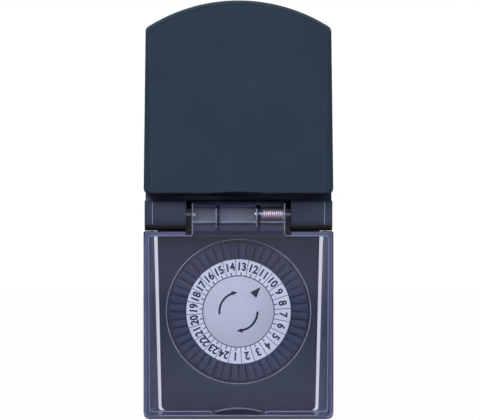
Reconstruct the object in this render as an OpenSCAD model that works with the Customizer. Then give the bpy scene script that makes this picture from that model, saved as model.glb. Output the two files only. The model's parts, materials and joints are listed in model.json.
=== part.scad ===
// Outdoor plug-in segment timer: a wall plug on the back, a covered socket on the front, and a
// 24-hour dial with pressed tappets under a clear lid.
// Frame: origin on the plug's face, on its axis. X is to the right, Y points into the wall, Z is up.
// Heights below are taken from the housing's lower edge, and at_height() brings them to the frame.

/* [Housing] */
// Width over the lid and the socket cover
body_w = 75; // [66:0.5:92]
// Height from the lid's lower edge to the top of the arch
body_h = 165; // [150:1:200]
// Height of the plug and socket axis
plug_h = 120; // [116:0.5:128]
// Depth from the housing's back to the lid's front
case_d = 44.5; // [42:0.5:54]
// Wall of the two shells
wall = 2; // [1.6:0.1:2.4]
// Height of the seam between the two shells above the back
split_d = 12.5; // [11:0.5:14]
// Thickness of the seal between the shells
seal_t = 0.6; // [0.4:0.1:1]
// Radius of the arched top
arch_r = 66.6; // [58:0.1:110]
// Width of the lower case at its top
case_top_w = 64.8; // [64.8:0.1:66]
// How much narrower the lower case is at its foot
case_taper = 3.8; // [3:0.1:5]
// Height of the lower case's foot
case_foot = 3; // [2:0.1:4]

/* [Hinge strip] */
// Height of the lid's hinge axis
lid_axis_h = 80.7; // [80:0.1:86]
// Outer radius of the clear hinge tongue
tongue_r = 5.5; // [5.2:0.1:5.8]
// Width of the clear hinge tongue
tongue_w = 40.8; // [36:0.1:42]
// Gap between the tongue and the blocks beside it
tongue_gap = 0.3; // [0.2:0.05:0.5]
// Radius of the steel hinge pins
pin_r = 1.25; // [1:0.05:1.4]
// Running clearance of hinges and wheels on their pins, on the radius
run_fit = 0.05; // [0.02:0.01:0.08]
// Clearance of a fixed pin in its seat, on the radius
seat_fit = 0.02; // [0.01:0.01:0.03]

/* [Clear lid] */
// Height of the lid's top edge
lid_h = 73.4; // [72:0.1:79]
// Wall of the lid
lid_wall = 1.6; // [1.2:0.1:1.8]
// Thickness of the lid's front
lid_front = 2; // [1.6:0.1:2.4]
// Depth of the lid from front to back edge
lid_d = 18; // [14:0.5:20]
// Gap between the lid's skirt and the case beside it
lid_side_gap = 1.4; // [1:0.1:1.6]

/* [Socket cover] */
// Height of the cover's lower edge
flap_foot = 88.8; // [88.8:0.1:95]
// How far the cover's front stands in front of the lid
flap_proud = 5; // [4:0.5:7]
// Depth of the cover from front to back edge
flap_d = 11.5; // [11:0.5:13]
// Wall of the cover
flap_wall = 2; // [1.6:0.1:2.2]
// Slope of the cover's front edge
flap_bevel = 1.9; // [1:0.1:2.2]
// Distance of the cover's hinge axis below the top of the arch
flap_axis_drop = 7; // [7:0.1:8]

/* [Plug and socket] */
// Length of the plug's round boss
boss_l = 17.5; // [17:0.1:18]
// Radius of the plug's round boss
boss_r = 19.25; // [19:0.05:19.4]
// Distance between the plug's pins
pin_pitch = 19; // [18.5:0.1:19.5]
// Radius of the plug's pins
prong_r = 2.4; // [2.3:0.05:2.45]
// Length of the plug's pins
prong_l = 19; // [18:0.5:20]
// Radius of the socket's well
well_r = 19.5; // [19.4:0.05:19.8]
// Depth of the socket's well
well_d = 17.5; // [17:0.1:18]
// Radius of the holes in the socket's floor
hole_r = 2.7; // [2.6:0.05:2.9]

/* [Dial] */
// Height of the dial's centre
dial_h = 42.2; // [40:0.1:42.6]
// Outer radius of the dial
dial_r = 28; // [23.3:0.1:28]
// Number of tappets, one for each half hour
tappets = 48; // [48]
// Travel of a pressed tappet
tappet_travel = 1.8; // [1.2:0.1:2]
// Inner radius of the tappet ring
ring_r = 20.9; // [20.9:0.1:21.4]
// Radius of the fixed centre disc
centre_r = 14.2; // [12:0.1:15]
// Teeth on the dial's gear
dial_teeth = 50; // [50]
// Teeth on the pinion that turns the dial
pinion_teeth = 10; // [10]
// Tooth module of the dial's gear
dial_module = 0.8; // [0.76:0.01:0.8]
// Teeth on the wheel beside the pinion
wheel_teeth = 36; // [36]
// Teeth on the motor's output pinion
output_teeth = 9; // [9]
// Tooth module of the wheel and the output pinion
wheel_module = 0.5; // [0.46:0.01:0.52]

/* [Hidden] */
TAPPET_GROUPS = 12;
$fn = 96;
eps = 0.01;

// Planes along Y, from the wall to the front
y_back = -boss_l;
y_split = y_back - split_d;
y_lid = y_back - case_d;
y_face = y_lid + 8;
y_block = y_lid + 1;
y_hinge = y_lid + tongue_r;
y_flap = y_lid - flap_proud;
y_flap_rear = y_flap + flap_d;
y_rim = y_flap_rear + 0.3;
y_deck = y_rim + 4.2;
y_lid_rear = y_lid + lid_d;
y_flap_axis = y_flap + 7;

// Case outline
half_w = body_w / 2;
case_half_top = case_top_w / 2;
case_half_foot = case_half_top - case_taper / 2;
block_foot = lid_h + 1;
case_join = block_foot + 8;
face_top = block_foot - 2;
block_top = flap_foot - 2.6;
block_half = half_w - 0.4;
block_in = tongue_w / 2 + tongue_gap;
block_round = 4;
upper_half = half_w - 0.5;
upper_top = body_h - 0.8;
rim_top = body_h - 19;
pocket_r = tongue_r + 0.6;

// Cover outline
flap_half_foot = half_w - 0.1;
flap_half_top = half_w - 0.9;
flap_axis_h = body_h - flap_axis_drop;
recess_half = 8.7;
recess_rise = 1.5;
recess_r = (recess_half * recess_half + recess_rise * recess_rise) / (2 * recess_rise);
flap_lug_in = 6;
flap_lug_out = 9.7;
ear_in = 10;
ear_out = 14;
knuckle_r = 2.9;

// Plug and socket
well_out = well_r + 1.9;
collar_r = well_out + 2.2;
y_well = y_lid - 0.3;
y_well_floor = y_well + well_d;
well_floor_t = 3;
y_collar = y_lid + 0.2;
base_flange_r = boss_r + 3.2;
base_flange_t = 3;
back_t = 2.4;
y_base_in = y_back - back_t - 0.05 - base_flange_t;
bar_t = 0.8;
y_bar = y_base_in - 0.5;
earth_half = 3.3;

// Dial stack along Y
y_tappet = y_face - 1;
y_ring = y_face - 0.4;
y_dial = y_face;
dial_t = 3.8;
y_dial_rear = y_dial + dial_t;
tappet_l = 4.6;
tappet_deg = 5.9;
slot_deg = 6.3;
rim_t = 0.5;
y_gear = y_dial_rear + 2;
gear_t = 1.8;
y_wheel = y_gear + gear_t + 0.5;
wheel_t = 1.4;
y_plate = y_wheel + wheel_t + 0.5;
plate_t = 1.5;
y_motor = y_plate + plate_t + 0.6;
motor_t = 13;
motor_r = 17;
post_r = 4;
dial_hole_r = dial_r + 0.4;

// Wheels: the drive wheel stands below left of the dial, the output pinion towards the centre
drive_dir = 240;
drive_gap = dial_module * (dial_teeth + pinion_teeth) / 2;
drive_at = [drive_gap * cos(drive_dir), dial_h + drive_gap * sin(drive_dir)];
output_dir = 60;
output_gap = wheel_module * (wheel_teeth + output_teeth) / 2;
output_at = [drive_at[0] + output_gap * cos(output_dir), drive_at[1] + output_gap * sin(output_dir)];
axle_r = 1;
output_r = 1.1;

// Fasteners
screw_low = [24.5, 9];
screw_high = [31, rim_top];
screw_r = 1.5;
screw_head_r = 3;
screw_post_r = 3.4;
head_sink = 2.4;
plate_post = [23.5, 26.2];
plate_post_r = 2.8;
plate_screw_r = 1.1;
plate_screw_head_r = 2.3;

// Switch lever beside the dial
lever_x = 24;
lever_w = 4.6;
lever_t = 1.8;
y_lever = y_tappet + tappet_l + tappet_travel + 0.3;
lever_low = dial_h;
lever_high = dial_h + 21;
feed_x = lever_x - lever_w / 2 - 1.7;
feed_h = lever_high - 3;
lever_axis_h = dial_h + 14;
y_lever_axis = y_lever + lever_t + 0.4;
lever_pin_r = 0.8;
blade_t = 0.4;
contact_r = 1.5;
y_contact_rest = y_lever + lever_t + blade_t + 0.8;
y_contact_fixed = y_contact_rest + 1.9;

// Current bars
y_terminal = y_well_floor + 13;
bars_h = dial_h + 32;
tail_r = 1.4;
prong_collar_r = prong_r + 0.5;

// Socket contacts
sleeve_bore_r = hole_r + 0.4;
sleeve_r = sleeve_bore_r + 0.8;
sleeve_tube_r = sleeve_r + 1.1;

// Hinge springs
spring_wire_r = 0.5;
spring_pitch = 0.98;
spring_r = pin_r + 0.15 + spring_wire_r;
lid_spring_x = 9.1;
lid_spring_turns = 9;
flap_spring_x = -5.2;
flap_spring_turns = 10;

// Lid
tongue_cheek = 2.4;
tongue_ribs = [-8.1, 7.9];
rib_half = 0.7;
pin_seat_l = 5.5;

// Heights are measured from the lower edge and brought to the frame here
module at_height(h = 0) translate([0, 0, h - plug_h]) children();

// A flat outline in X and height, given thickness between two Y planes
module slab(y_front, y_rear)
    translate([0, y_rear, 0]) rotate([90, 0, 0]) linear_extrude(y_rear - y_front) children();

// A round bar along Y between two planes, at a point in X and height
module bar_y(at, r, y_front, y_rear)
    translate([at[0], y_rear, at[1]]) rotate([90, 0, 0]) cylinder(r = r, h = y_rear - y_front);

// A round bar along X between two places, at a point in Y and height
module bar_x(at, r, x_low, x_high)
    translate([x_low, at[0], at[1]]) rotate([0, 90, 0]) cylinder(r = r, h = x_high - x_low);

// A profile in Y and height, given thickness along X
module slab_x(x_low, x_high)
    translate([x_low, 0, 0]) rotate([90, 0, 90]) linear_extrude(x_high - x_low) children();

// A plain block between two corners
module block(low, high) translate(low) cube(high - low);

module mirrored() {
    children();
    mirror([1, 0, 0]) children();
}

// Outline of the lower case: narrower towards its foot
module case_outline(inset = 0)
    offset(r = 2) offset(delta = -2 - inset)
        polygon([[-case_half_foot, case_foot], [case_half_foot, case_foot],
            [case_half_top, case_join], [-case_half_top, case_join]]);

// Outline of an arched upper part
module arch_outline(foot, half_foot, half_top, top, corner, inset = 0)
    offset(r = corner) offset(delta = -corner - inset)
        intersection() {
            polygon([[-half_foot, foot], [half_foot, foot], [half_top, top - 11],
                [half_top, top], [-half_top, top], [-half_top, top - 11]]);
            translate([0, top - arch_r]) circle(r = arch_r, $fn = 240);
        }

module upper_outline(inset = 0)
    arch_outline(block_foot, upper_half, upper_half - 0.6, upper_top, 1.8, inset);

module flap_outline(inset = 0)
    arch_outline(flap_foot, flap_half_foot, flap_half_top, body_h, 2.5 - min(inset, 2), inset);

module housing_outline(inset = 0) {
    case_outline(inset);
    upper_outline(inset);
}

// Four places of the screws that close the housing
module at_screws()
    for (side = [-1, 1], at = [screw_low, screw_high])
        translate([side * at[0], 0, at[1]]) children();

module at_plate_posts()
    for (side = [-1, 1], up = [-1, 1])
        translate([side * plate_post[0], 0, dial_h + up * plate_post[1]]) children();

// Gear outline with slim straight-sided teeth; a tooth is centred on the first axis
function polar(r, a) = [r * cos(a), r * sin(a)];
function tooth(n, m, k) =
    let (a = 360 * k / n, r = m * n / 2, half = 360 / n / 4)
    [polar(r - 1.15 * m, a - 1.25 * half), polar(r, a - 0.84 * half), polar(r + 0.85 * m, a - 0.32 * half),
        polar(r + 0.85 * m, a + 0.32 * half), polar(r, a + 0.84 * half),
        polar(r - 1.15 * m, a + 1.25 * half)];

module gear_outline(n, m) polygon([for (k = [0:n - 1]) each tooth(n, m, k)]);

// A wedge of a ring, straight across its inner and outer edge
module wedge(r_in, r_out, width)
    polygon([for (at = [[r_in, -1], [r_out, -1], [r_out, 1], [r_in, 1]]) polar(at[0], at[1] * width / 2)]);

// --- Housing ---

module rear_shell() color([0.18, 0.2, 0.26]) at_height() difference() {
    union() {
        difference() {
            slab(y_split + seal_t / 2, y_back) housing_outline();
            slab(y_split, y_back - back_t) housing_outline(wall);
        }
        at_screws() bar_y([0, 0], screw_post_r, y_split + seal_t / 2, y_back - eps);
    }
    bar_y([0, plug_h], boss_r + 0.15, y_split, y_back + 1);
    at_screws() {
        bar_y([0, 0], screw_r + 0.2, y_split - 1, y_back + 1);
        bar_y([0, 0], screw_head_r + 0.2, y_back - head_sink, y_back + 1);
    }
}

// One of the two ears that carry the cover's hinge pin
module flap_ear()
    slab_x(ear_in, ear_out) {
        translate([y_flap_axis, flap_axis_h]) circle(r = knuckle_r);
        polygon([[y_flap_axis - knuckle_r, flap_axis_h], [y_flap_axis + 2.4, flap_axis_h],
            [y_flap_axis + 2.4, flap_axis_h - 7.5], [y_deck + 0.5, flap_axis_h - 7.5],
            [y_deck + 0.5, flap_axis_h - 11], [y_flap_axis - knuckle_r, flap_axis_h - 11]]);
    }

// One of the two blocks beside the clear tongue, rounded under its front edge
module hinge_block()
    slab_x(block_in, block_half) {
        polygon([[y_block, block_foot + block_round], [y_block + block_round, block_foot],
            [y_deck + 0.5, block_foot], [y_deck + 0.5, block_top], [y_block + 0.8, block_top],
            [y_block, block_top - 0.8]]);
        intersection() {
            translate([y_block + block_round, block_foot + block_round]) circle(r = block_round);
            translate([y_block, block_foot]) square(block_round);
        }
    }

module front_shell_outer() {
    slab(y_face, y_split - seal_t / 2) intersection() {
        case_outline();
        translate([-half_w, 0]) square([body_w, block_foot + 1]);
    }
    slab(y_deck, y_split - seal_t / 2) upper_outline();
    slab(y_rim, y_deck + eps) difference() {
        intersection() {
            upper_outline();
            translate([-half_w, 0]) square([body_w, rim_top]);
        }
        translate([-upper_half + wall, flap_foot + wall]) square([2 * (upper_half - wall), body_h]);
    }
    mirrored() hinge_block();
    mirrored() flap_ear();
    bar_y([0, plug_h], collar_r, y_collar, y_deck + eps);
}

module front_shell() color([0.2, 0.22, 0.29]) at_height() difference() {
    union() {
        difference() {
            front_shell_outer();
            slab(y_face + wall, y_deck + wall + eps) intersection() {
                case_outline(wall);
                translate([-half_w, 0]) square([body_w, face_top - wall]);
            }
            slab(y_deck + wall, y_split + 1) housing_outline(wall);
        }
        intersection() {
            difference() {
                bar_y([0, dial_h], dial_hole_r + 1.4, y_face, y_dial_rear);
                bar_y([0, dial_h], dial_hole_r, y_face - 1, y_dial_rear + 1);
            }
            slab(y_face, y_dial_rear) case_outline();
        }
        at_plate_posts() bar_y([0, 0], plate_post_r, y_face + eps, y_plate);
        for (side = [-1, 1]) {
            bar_y([side * screw_low[0], screw_low[1]], screw_post_r, y_face + eps, y_split - seal_t / 2);
            bar_y([side * screw_high[0], screw_high[1]], screw_post_r, y_deck + eps, y_split - seal_t / 2);
        }
    }
    // the dial's opening, the socket's opening and the pocket behind the tongue
    bar_y([0, dial_h], dial_hole_r, y_face - 1, y_face + wall + 1);
    bar_y([0, plug_h], well_out + 0.1, y_collar - 1, y_deck + wall + 1);
    bar_x([y_hinge, lid_axis_h], pocket_r, -block_in, block_in);
    block([-block_in, y_lid, face_top], [block_in, y_deck, lid_axis_h]);
    // pin seats
    bar_x([y_hinge, lid_axis_h], pin_r + seat_fit, -block_in - pin_seat_l - 0.5, block_in + pin_seat_l + 0.5);
    bar_x([y_flap_axis, flap_axis_h], pin_r + seat_fit, -ear_out - 1, ear_out + 1);
    at_screws() bar_y([0, 0], screw_r + seat_fit, y_split - 12, y_split + 1);
    at_plate_posts() bar_y([0, 0], plate_screw_r + seat_fit, y_plate - 6, y_plate + 1);
}

module shell_gasket() color([0.08, 0.08, 0.09]) at_height()
    slab(y_split - seal_t / 2, y_split + seal_t / 2) difference() {
        housing_outline(0.3);
        housing_outline(wall - 0.1);
    }

module screw(r, head_r, head_t, length) {
    rotate([90, 0, 0]) cylinder(r = r, h = length);
    difference() {
        translate([0, head_t, 0]) rotate([90, 0, 0]) cylinder(r = head_r, h = head_t);
        for (turn = [0, 90]) rotate([0, turn, 0])
            block([-head_r * 0.62, head_t * 0.45, -0.35], [head_r * 0.62, head_t + 1, 0.35]);
    }
}

module shell_screws() color([0.75, 0.76, 0.78]) at_height()
    at_screws() translate([0, y_back - head_sink, 0])
        screw(screw_r, screw_head_r, 1.6, y_back - head_sink - y_split + 11);

// --- Plug ---

module plug_base() color([0.14, 0.15, 0.18]) at_height(plug_h) difference() {
    rotate([90, 0, 0]) rotate_extrude()
        polygon([[0, 0], [boss_r - 1, 0], [boss_r, 1], [boss_r, -y_back + back_t + 0.05],
            [base_flange_r, -y_back + back_t + 0.05], [base_flange_r, -y_base_in], [0, -y_base_in]]);
    for (side = [-1, 1]) bar_y([side * pin_pitch / 2, 0], prong_collar_r, y_base_in - 1, 1);
    // grooves for the earth strips, above and below
    for (up = [0, 1]) mirror([0, 0, up])
        block([-earth_half - 0.3, y_base_in - 1, boss_r - 2.05], [earth_half + 0.3, -1.5, boss_r + 0.05]);
}

// A plug pin: a collar held in the base, the round prong and a tail for its current bar
module prong(side) at_height()
    translate([side * pin_pitch / 2, 0, plug_h]) rotate([-90, 0, 0]) rotate_extrude()
        polygon([[0, y_bar - bar_t], [tail_r, y_bar - bar_t], [tail_r, y_base_in],
            [prong_collar_r - seat_fit, y_base_in], [prong_collar_r - seat_fit, 0], [prong_r, 0],
            [prong_r, prong_l - 1.5], [prong_r - 0.45, prong_l - 0.6], [prong_r - 1.3, prong_l],
            [0, prong_l]]);

module line_pin() color([0.78, 0.79, 0.8]) prong(1);
module neutral_pin() color([0.78, 0.79, 0.8]) prong(-1);

module plug_earth_strip() color([0.8, 0.7, 0.4]) at_height(plug_h) {
    for (up = [0, 1]) mirror([0, 0, up])
        block([-earth_half, y_bar - bar_t, boss_r - 2], [earth_half, -1.8, boss_r - 1.2]);
    block([-earth_half, y_bar - bar_t, -boss_r + 1.2], [earth_half, y_bar, boss_r - 1.2]);
}

// --- Socket ---

module socket_well() color([0.12, 0.13, 0.15]) at_height() difference() {
    union() {
        bar_y([0, plug_h], well_out, y_well + 1.2, y_well_floor + well_floor_t);
        bar_y([0, plug_h], well_out + 1.4, y_well, y_collar - eps);
        bar_y([0, plug_h], well_out, y_well, y_well + 2);
        for (side = [-1, 1])
            bar_y([side * pin_pitch / 2, plug_h], sleeve_tube_r, y_well_floor, y_well_floor + 17);
    }
    bar_y([0, plug_h], well_r, y_well - 1, y_well_floor);
    for (side = [-1, 1]) {
        bar_y([side * pin_pitch / 2, plug_h], hole_r, y_well_floor - 1, y_well_floor + well_floor_t + 1);
        bar_y([side * pin_pitch / 2, plug_h], sleeve_r + 0.1, y_well_floor + well_floor_t, y_well_floor + 18);
        // slot for the contact's terminal
        block([side * pin_pitch / 2 - 1.6, y_well_floor + 12, plug_h - 6],
            [side * pin_pitch / 2 + 1.6, y_well_floor + 18, plug_h]);
    }
    // slots for the earth clips
    for (up = [0, 1]) translate([0, 0, plug_h]) mirror([0, 0, up])
        block([-3, y_well + 2.2, well_r - 1], [3, y_well_floor + well_floor_t + 1, well_out + 1]);
}

module socket_earth_clips() color([0.8, 0.7, 0.4]) at_height(plug_h)
    for (up = [0, 1]) mirror([0, 0, up]) {
        block([-2.8, y_well + 2.6, well_r + 0.1], [2.8, y_bar, well_r + 0.9]);
        block([-2.8, y_bar - bar_t, boss_r - 1.2], [2.8, y_bar, well_r + 0.1]);
    }

// A sprung sleeve that takes a plug pin, with a terminal on its lower side
module contact_sleeve(side) at_height(plug_h)
    translate([side * pin_pitch / 2, 0, 0]) {
        difference() {
            bar_y([0, 0], sleeve_r, y_well_floor + well_floor_t + 0.2, y_well_floor + 16);
            bar_y([0, 0], sleeve_bore_r, y_well_floor, y_well_floor + 15);
            block([-4, y_well_floor, -0.35], [4, y_well_floor + 11, 0.35]);
        }
        block([-1.4, y_well_floor + 12.2, -7.5], [1.4, y_well_floor + 13, -3.4]);
    }

module line_contact() color([0.85, 0.7, 0.35]) contact_sleeve(1);
module neutral_contact() color([0.85, 0.7, 0.35]) contact_sleeve(-1);

// --- Current bars ---

// A block about one place in X, between two planes and two heights
module upright(x, half, y, h) block([x - half, y[0], h[0]], [x + half, y[1], h[1]]);

// Flat bar seated on a prong's tail
module prong_plate(side, foot) difference() {
    upright(side * pin_pitch / 2, 2.6, [y_bar - bar_t, y_bar], [foot, plug_h + 3.5]);
    bar_y([side * pin_pitch / 2, plug_h], tail_r + seat_fit, y_bar - 2, y_bar + 1);
}

module line_feed_bar() color([0.8, 0.55, 0.35]) at_height() {
    prong_plate(1, feed_h);
    block([pin_pitch / 2 - 2.6, y_bar - bar_t, feed_h], [feed_x + 1.2, y_bar, feed_h + 3]);
    block([feed_x, y_plate - 1, feed_h], [feed_x + 1.2, y_bar, feed_h + bar_t]);
}

module line_switched_bar() color([0.8, 0.55, 0.35]) at_height() {
    upright(pin_pitch / 2, 1.4, [y_terminal, y_terminal + bar_t], [bars_h + 2, plug_h - 4.5]);
    block([pin_pitch / 2 - 1.4, y_terminal, bars_h], [lever_x + 4.5, y_terminal + bar_t, bars_h + 2]);
    block([lever_x + 2.9, y_terminal, lever_low + 2], [lever_x + 4.5, y_terminal + bar_t, bars_h + 2]);
    block([lever_x - 1.6, y_terminal, lever_low + 2], [lever_x + 4.5, y_terminal + bar_t, lever_low + 6]);
    bar_y([lever_x, lever_low + 4], contact_r, y_contact_fixed, y_terminal + eps);
}

module neutral_bar() color([0.8, 0.55, 0.35]) at_height() {
    prong_plate(-1, plug_h - 9);
    upright(-pin_pitch / 2, 1.4, [y_terminal, y_bar - bar_t + eps], [plug_h - 9, plug_h - 8.2]);
    upright(-pin_pitch / 2, 1.4, [y_terminal, y_terminal + bar_t], [plug_h - 9, plug_h - 4.5]);
}

// --- Movement ---

// The plate is waisted, so that the lever's contacts can work beside it
module plate_outline() {
    for (up = [-1, 1])
        translate([-plate_post[0] - 3, dial_h + up * plate_post[1] - 3.5]) square([2 * plate_post[0] + 6, 7]);
    translate([-20, dial_h - plate_post[1]]) square([39.5, 2 * plate_post[1]]);
    translate([-20, lever_axis_h - 2.5]) square([20 + lever_x + 4.6, 5]);
}

module movement_plate() color([0.82, 0.83, 0.84]) at_height() difference() {
    union() {
        slab(y_plate, y_plate + plate_t) difference() {
            plate_outline();
            translate([lever_x - lever_w / 2 - 0.5, lever_axis_h - 2.6]) square([lever_w + 1, 5.2]);
        }
        // ears that hold the lever's pin
        for (x = [lever_x - lever_w / 2 - 1.5, lever_x + lever_w / 2 + 0.3])
            slab_x(x, x + 1.2) {
                translate([y_lever_axis, lever_axis_h]) circle(r = 1.6);
                translate([y_lever_axis, lever_axis_h - 1.6]) square([y_plate + plate_t - y_lever_axis, 3.2]);
            }
        // bridge behind the lever
        block([lever_x - lever_w / 2 - 1, y_plate + 0.6, lever_axis_h - 1.6],
            [lever_x + lever_w / 2 + 1, y_plate + plate_t, lever_axis_h + 1.6]);
    }
    at_plate_posts() bar_y([0, 0], plate_screw_r + 0.2, y_plate - 1, y_plate + plate_t + 1);
    bar_y([0, dial_h], 2.5 + seat_fit, y_plate - 1, y_plate + plate_t + 1);
    bar_y(drive_at, axle_r + seat_fit, y_plate - 1, y_plate + plate_t + 1);
    bar_y(output_at, output_r + 0.4, y_plate - 1, y_plate + plate_t + 1);
    bar_x([y_lever_axis, lever_axis_h], lever_pin_r + seat_fit, lever_x - 5, lever_x + 5);
}

module movement_screws() color([0.75, 0.76, 0.78]) at_height()
    at_plate_posts() translate([0, y_plate + plate_t, 0])
        screw(plate_screw_r, plate_screw_head_r, 1.2, plate_t + 5);

module dial_post() color([0.7, 0.71, 0.73]) at_height() {
    bar_y([0, dial_h], post_r, y_ring + 0.6, y_plate);
    bar_y([0, dial_h], 2.5, y_plate - 1, y_plate + plate_t + 0.4);
    bar_y([0, dial_h], 2, y_ring, y_ring + 1);
}

module pointer_disc() color([0.72, 0.74, 0.82]) at_height() difference() {
    bar_y([0, dial_h], centre_r - 0.2, y_ring - 0.2, y_ring + 0.6);
    bar_y([0, dial_h], 2 + seat_fit, y_ring, y_ring + 2);
}

module wheel_axle() color([0.75, 0.76, 0.78]) at_height()
    bar_y(drive_at, axle_r, y_gear - 0.1, y_plate + plate_t + 0.3);

module drive_wheel() color([0.85, 0.84, 0.8]) at_height() difference() {
    translate([drive_at[0], 0, drive_at[1]]) {
        slab(y_gear, y_gear + gear_t) rotate(drive_dir + 180 + 180 / pinion_teeth)
            gear_outline(pinion_teeth, dial_module);
        slab(y_wheel, y_wheel + wheel_t) rotate(output_dir) gear_outline(wheel_teeth, wheel_module);
        bar_y([0, 0], 2.4, y_gear + gear_t - eps, y_wheel + eps);
        bar_y([0, 0], 1.9, y_wheel + wheel_t - eps, y_plate - 0.1);
    }
    bar_y(drive_at, axle_r + run_fit, y_gear - 1, y_plate);
}

module output_pinion() color([0.85, 0.84, 0.8]) at_height() {
    translate([output_at[0], 0, output_at[1]])
        slab(y_wheel, y_wheel + wheel_t) rotate(output_dir + 180 + 180 / output_teeth)
            gear_outline(output_teeth, wheel_module);
    bar_y(output_at, output_r, y_wheel + wheel_t - eps, y_motor + 2);
}

module motor_can() color([0.6, 0.61, 0.63]) at_height() difference() {
    bar_y([0, dial_h], motor_r, y_motor, y_motor + motor_t);
    bar_y([0, dial_h], motor_r - 0.8, y_motor + 1, y_motor + motor_t - 0.8);
    bar_y(output_at, output_r + run_fit, y_motor - 1, y_motor + 2);
    bar_y([0, dial_h], 1 + seat_fit, y_motor - 1, y_motor + motor_t - 0.4);
    block([6, y_motor + motor_t - 2, dial_h + motor_r - 3], [10, y_motor + motor_t - 1, dial_h + motor_r]);
}

module motor_coil() color([0.75, 0.4, 0.2]) at_height(dial_h) rotate([90, 0, 0])
    rotate_extrude() translate([9.5, -(y_motor + motor_t - 0.8)]) difference() {
        square([6.5, 8.5]);
        translate([1, 1]) translate([6, 0]) square([1, 6.5]);
    }

module motor_rotor() color([0.35, 0.35, 0.38]) at_height() {
    difference() {
        bar_y([0, dial_h], 8.6, y_motor + 4, y_motor + motor_t - 1.6);
        bar_y([0, dial_h], 6.8, y_motor + 3, y_motor + motor_t - 3.6);
    }
    bar_y([0, dial_h], 1 - run_fit + seat_fit, y_motor + 0.2, y_motor + motor_t - 0.9);
}

// The dial: number ring, slotted rim, hub and the gear behind it
module dial() color([0.78, 0.8, 0.88]) at_height() difference() {
    union() {
        bar_y([0, dial_h], dial_r, y_dial, y_dial_rear);
        bar_y([0, dial_h], ring_r - 0.1, y_ring, y_dial + eps);
        bar_y([0, dial_h], 16, y_dial_rear - eps, y_gear + eps);
        translate([0, 0, dial_h]) slab(y_gear, y_gear + gear_t) rotate(drive_dir)
            gear_outline(dial_teeth, dial_module);
    }
    bar_y([0, dial_h], post_r + run_fit, y_ring - 1, y_gear + gear_t + 1);
    bar_y([0, dial_h], centre_r, y_ring - 1, y_ring + 0.8);
    // hollow behind the number ring
    difference() {
        bar_y([0, dial_h], 14.5, y_ring + 2.4, y_gear + gear_t + 1);
        bar_y([0, dial_h], post_r + 1.6, y_ring, y_gear + gear_t + 2);
    }
    for (k = [0:tappets - 1]) translate([0, 0, dial_h])
        slab(y_dial - 1, y_dial_rear + 1) rotate((k + 0.5) * 360 / tappets)
            wedge(ring_r, dial_r - rim_t, slot_deg);
}

// Tappets stand in the dial's slots; a node holds the tappets of two hours
module tappet(k) translate([0, 0, dial_h])
    slab(y_tappet, y_tappet + tappet_l) rotate((k + 0.5) * 360 / tappets)
        wedge(ring_r + 0.1, dial_r - rim_t - 0.1, tappet_deg);

module tappet_group(n) color([0.2, 0.22, 0.28]) at_height()
    for (k = [0:tappets / TAPPET_GROUPS - 1])
        tappet(90 / (360 / tappets) - 1 - (n - 1) * tappets / TAPPET_GROUPS - k);

// --- Switch ---

module switch_lever() color([0.85, 0.84, 0.8]) at_height() difference() {
    union() {
        upright(lever_x, lever_w / 2, [y_lever, y_lever + lever_t], [lever_low + 1, lever_high]);
        bar_x([y_lever + 0.9, lever_low + 1], 0.9, lever_x - lever_w / 2, lever_x + lever_w / 2);
        bar_x([y_lever_axis, lever_axis_h], 1.7, lever_x - lever_w / 2, lever_x + lever_w / 2);
    }
    bar_x([y_lever_axis, lever_axis_h], lever_pin_r + run_fit, lever_x - lever_w, lever_x + lever_w);
}

module lever_pin() color([0.75, 0.76, 0.78]) at_height()
    bar_x([y_lever_axis, lever_axis_h], lever_pin_r,
        lever_x - lever_w / 2 - 1.5, lever_x + lever_w / 2 + 1.5);

module contact_blade() color([0.85, 0.7, 0.35]) at_height() {
    upright(lever_x, 1.6, [y_lever + lever_t, y_lever + lever_t + blade_t],
        [lever_low + 1.5, lever_axis_h - 2]);
    bar_y([lever_x, lever_low + 4], contact_r, y_lever + lever_t + blade_t - eps, y_contact_rest);
}

// --- Clear lid ---

module lid_outline_front()
    offset(r = 3) offset(delta = -3)
        polygon([[-half_w, 0], [half_w, 0], [half_w, lid_h], [-half_w, lid_h]]);

// The skirt closes in on the case towards its rear edge
module lid_outline_rear(inset = 0)
    let (top = case_half_top + lid_side_gap + lid_wall, foot = case_half_foot + lid_side_gap + lid_wall)
    offset(r = 2) offset(delta = -2 - inset)
        polygon([[-foot, 0.8], [foot, 0.8], [top, lid_h], [-top, lid_h]]);

module lid_shell() difference() {
    hull() {
        slab(y_lid, y_lid + 0.8) lid_outline_front();
        slab(y_lid_rear - 0.4, y_lid_rear) lid_outline_rear();
    }
    hull() {
        slab(y_lid + lid_front, y_lid + lid_front + 0.2) offset(delta = -lid_wall) lid_outline_front();
        slab(y_lid_rear, y_lid_rear + 0.4) lid_outline_rear(lid_wall);
    }
    // the top is open behind the hinge axis, where the case passes
    upright(0, case_half_top + lid_side_gap, [y_hinge, y_lid_rear + 1], [lid_h - 4, lid_h + 4]);
}

// Profile of the hinge tongue, in Y and height
module tongue_profile(inset = 0) {
    translate([y_hinge, lid_axis_h]) circle(r = tongue_r - inset);
    translate([y_lid + inset, lid_h - 1]) square([tongue_r - inset, lid_axis_h - lid_h + 1]);
}

module lid_tongue() difference() {
    union() {
        difference() {
            slab_x(-tongue_w / 2, tongue_w / 2) tongue_profile();
            slab_x(-tongue_w / 2 + tongue_cheek, tongue_w / 2 - tongue_cheek) {
                tongue_profile(lid_wall);
                translate([y_hinge, lid_axis_h - tongue_r - 5]) square([tongue_r + 1, tongue_r + 5 + 2.5]);
            }
        }
        for (x = tongue_ribs) slab_x(x - rib_half, x + rib_half) difference() {
            tongue_profile(lid_wall / 2);
            translate([y_hinge + 3.2, lid_axis_h - 6]) square([4, 12]);
        }
    }
    bar_x([y_hinge, lid_axis_h], pin_r + run_fit, -tongue_w, tongue_w);
}

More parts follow.
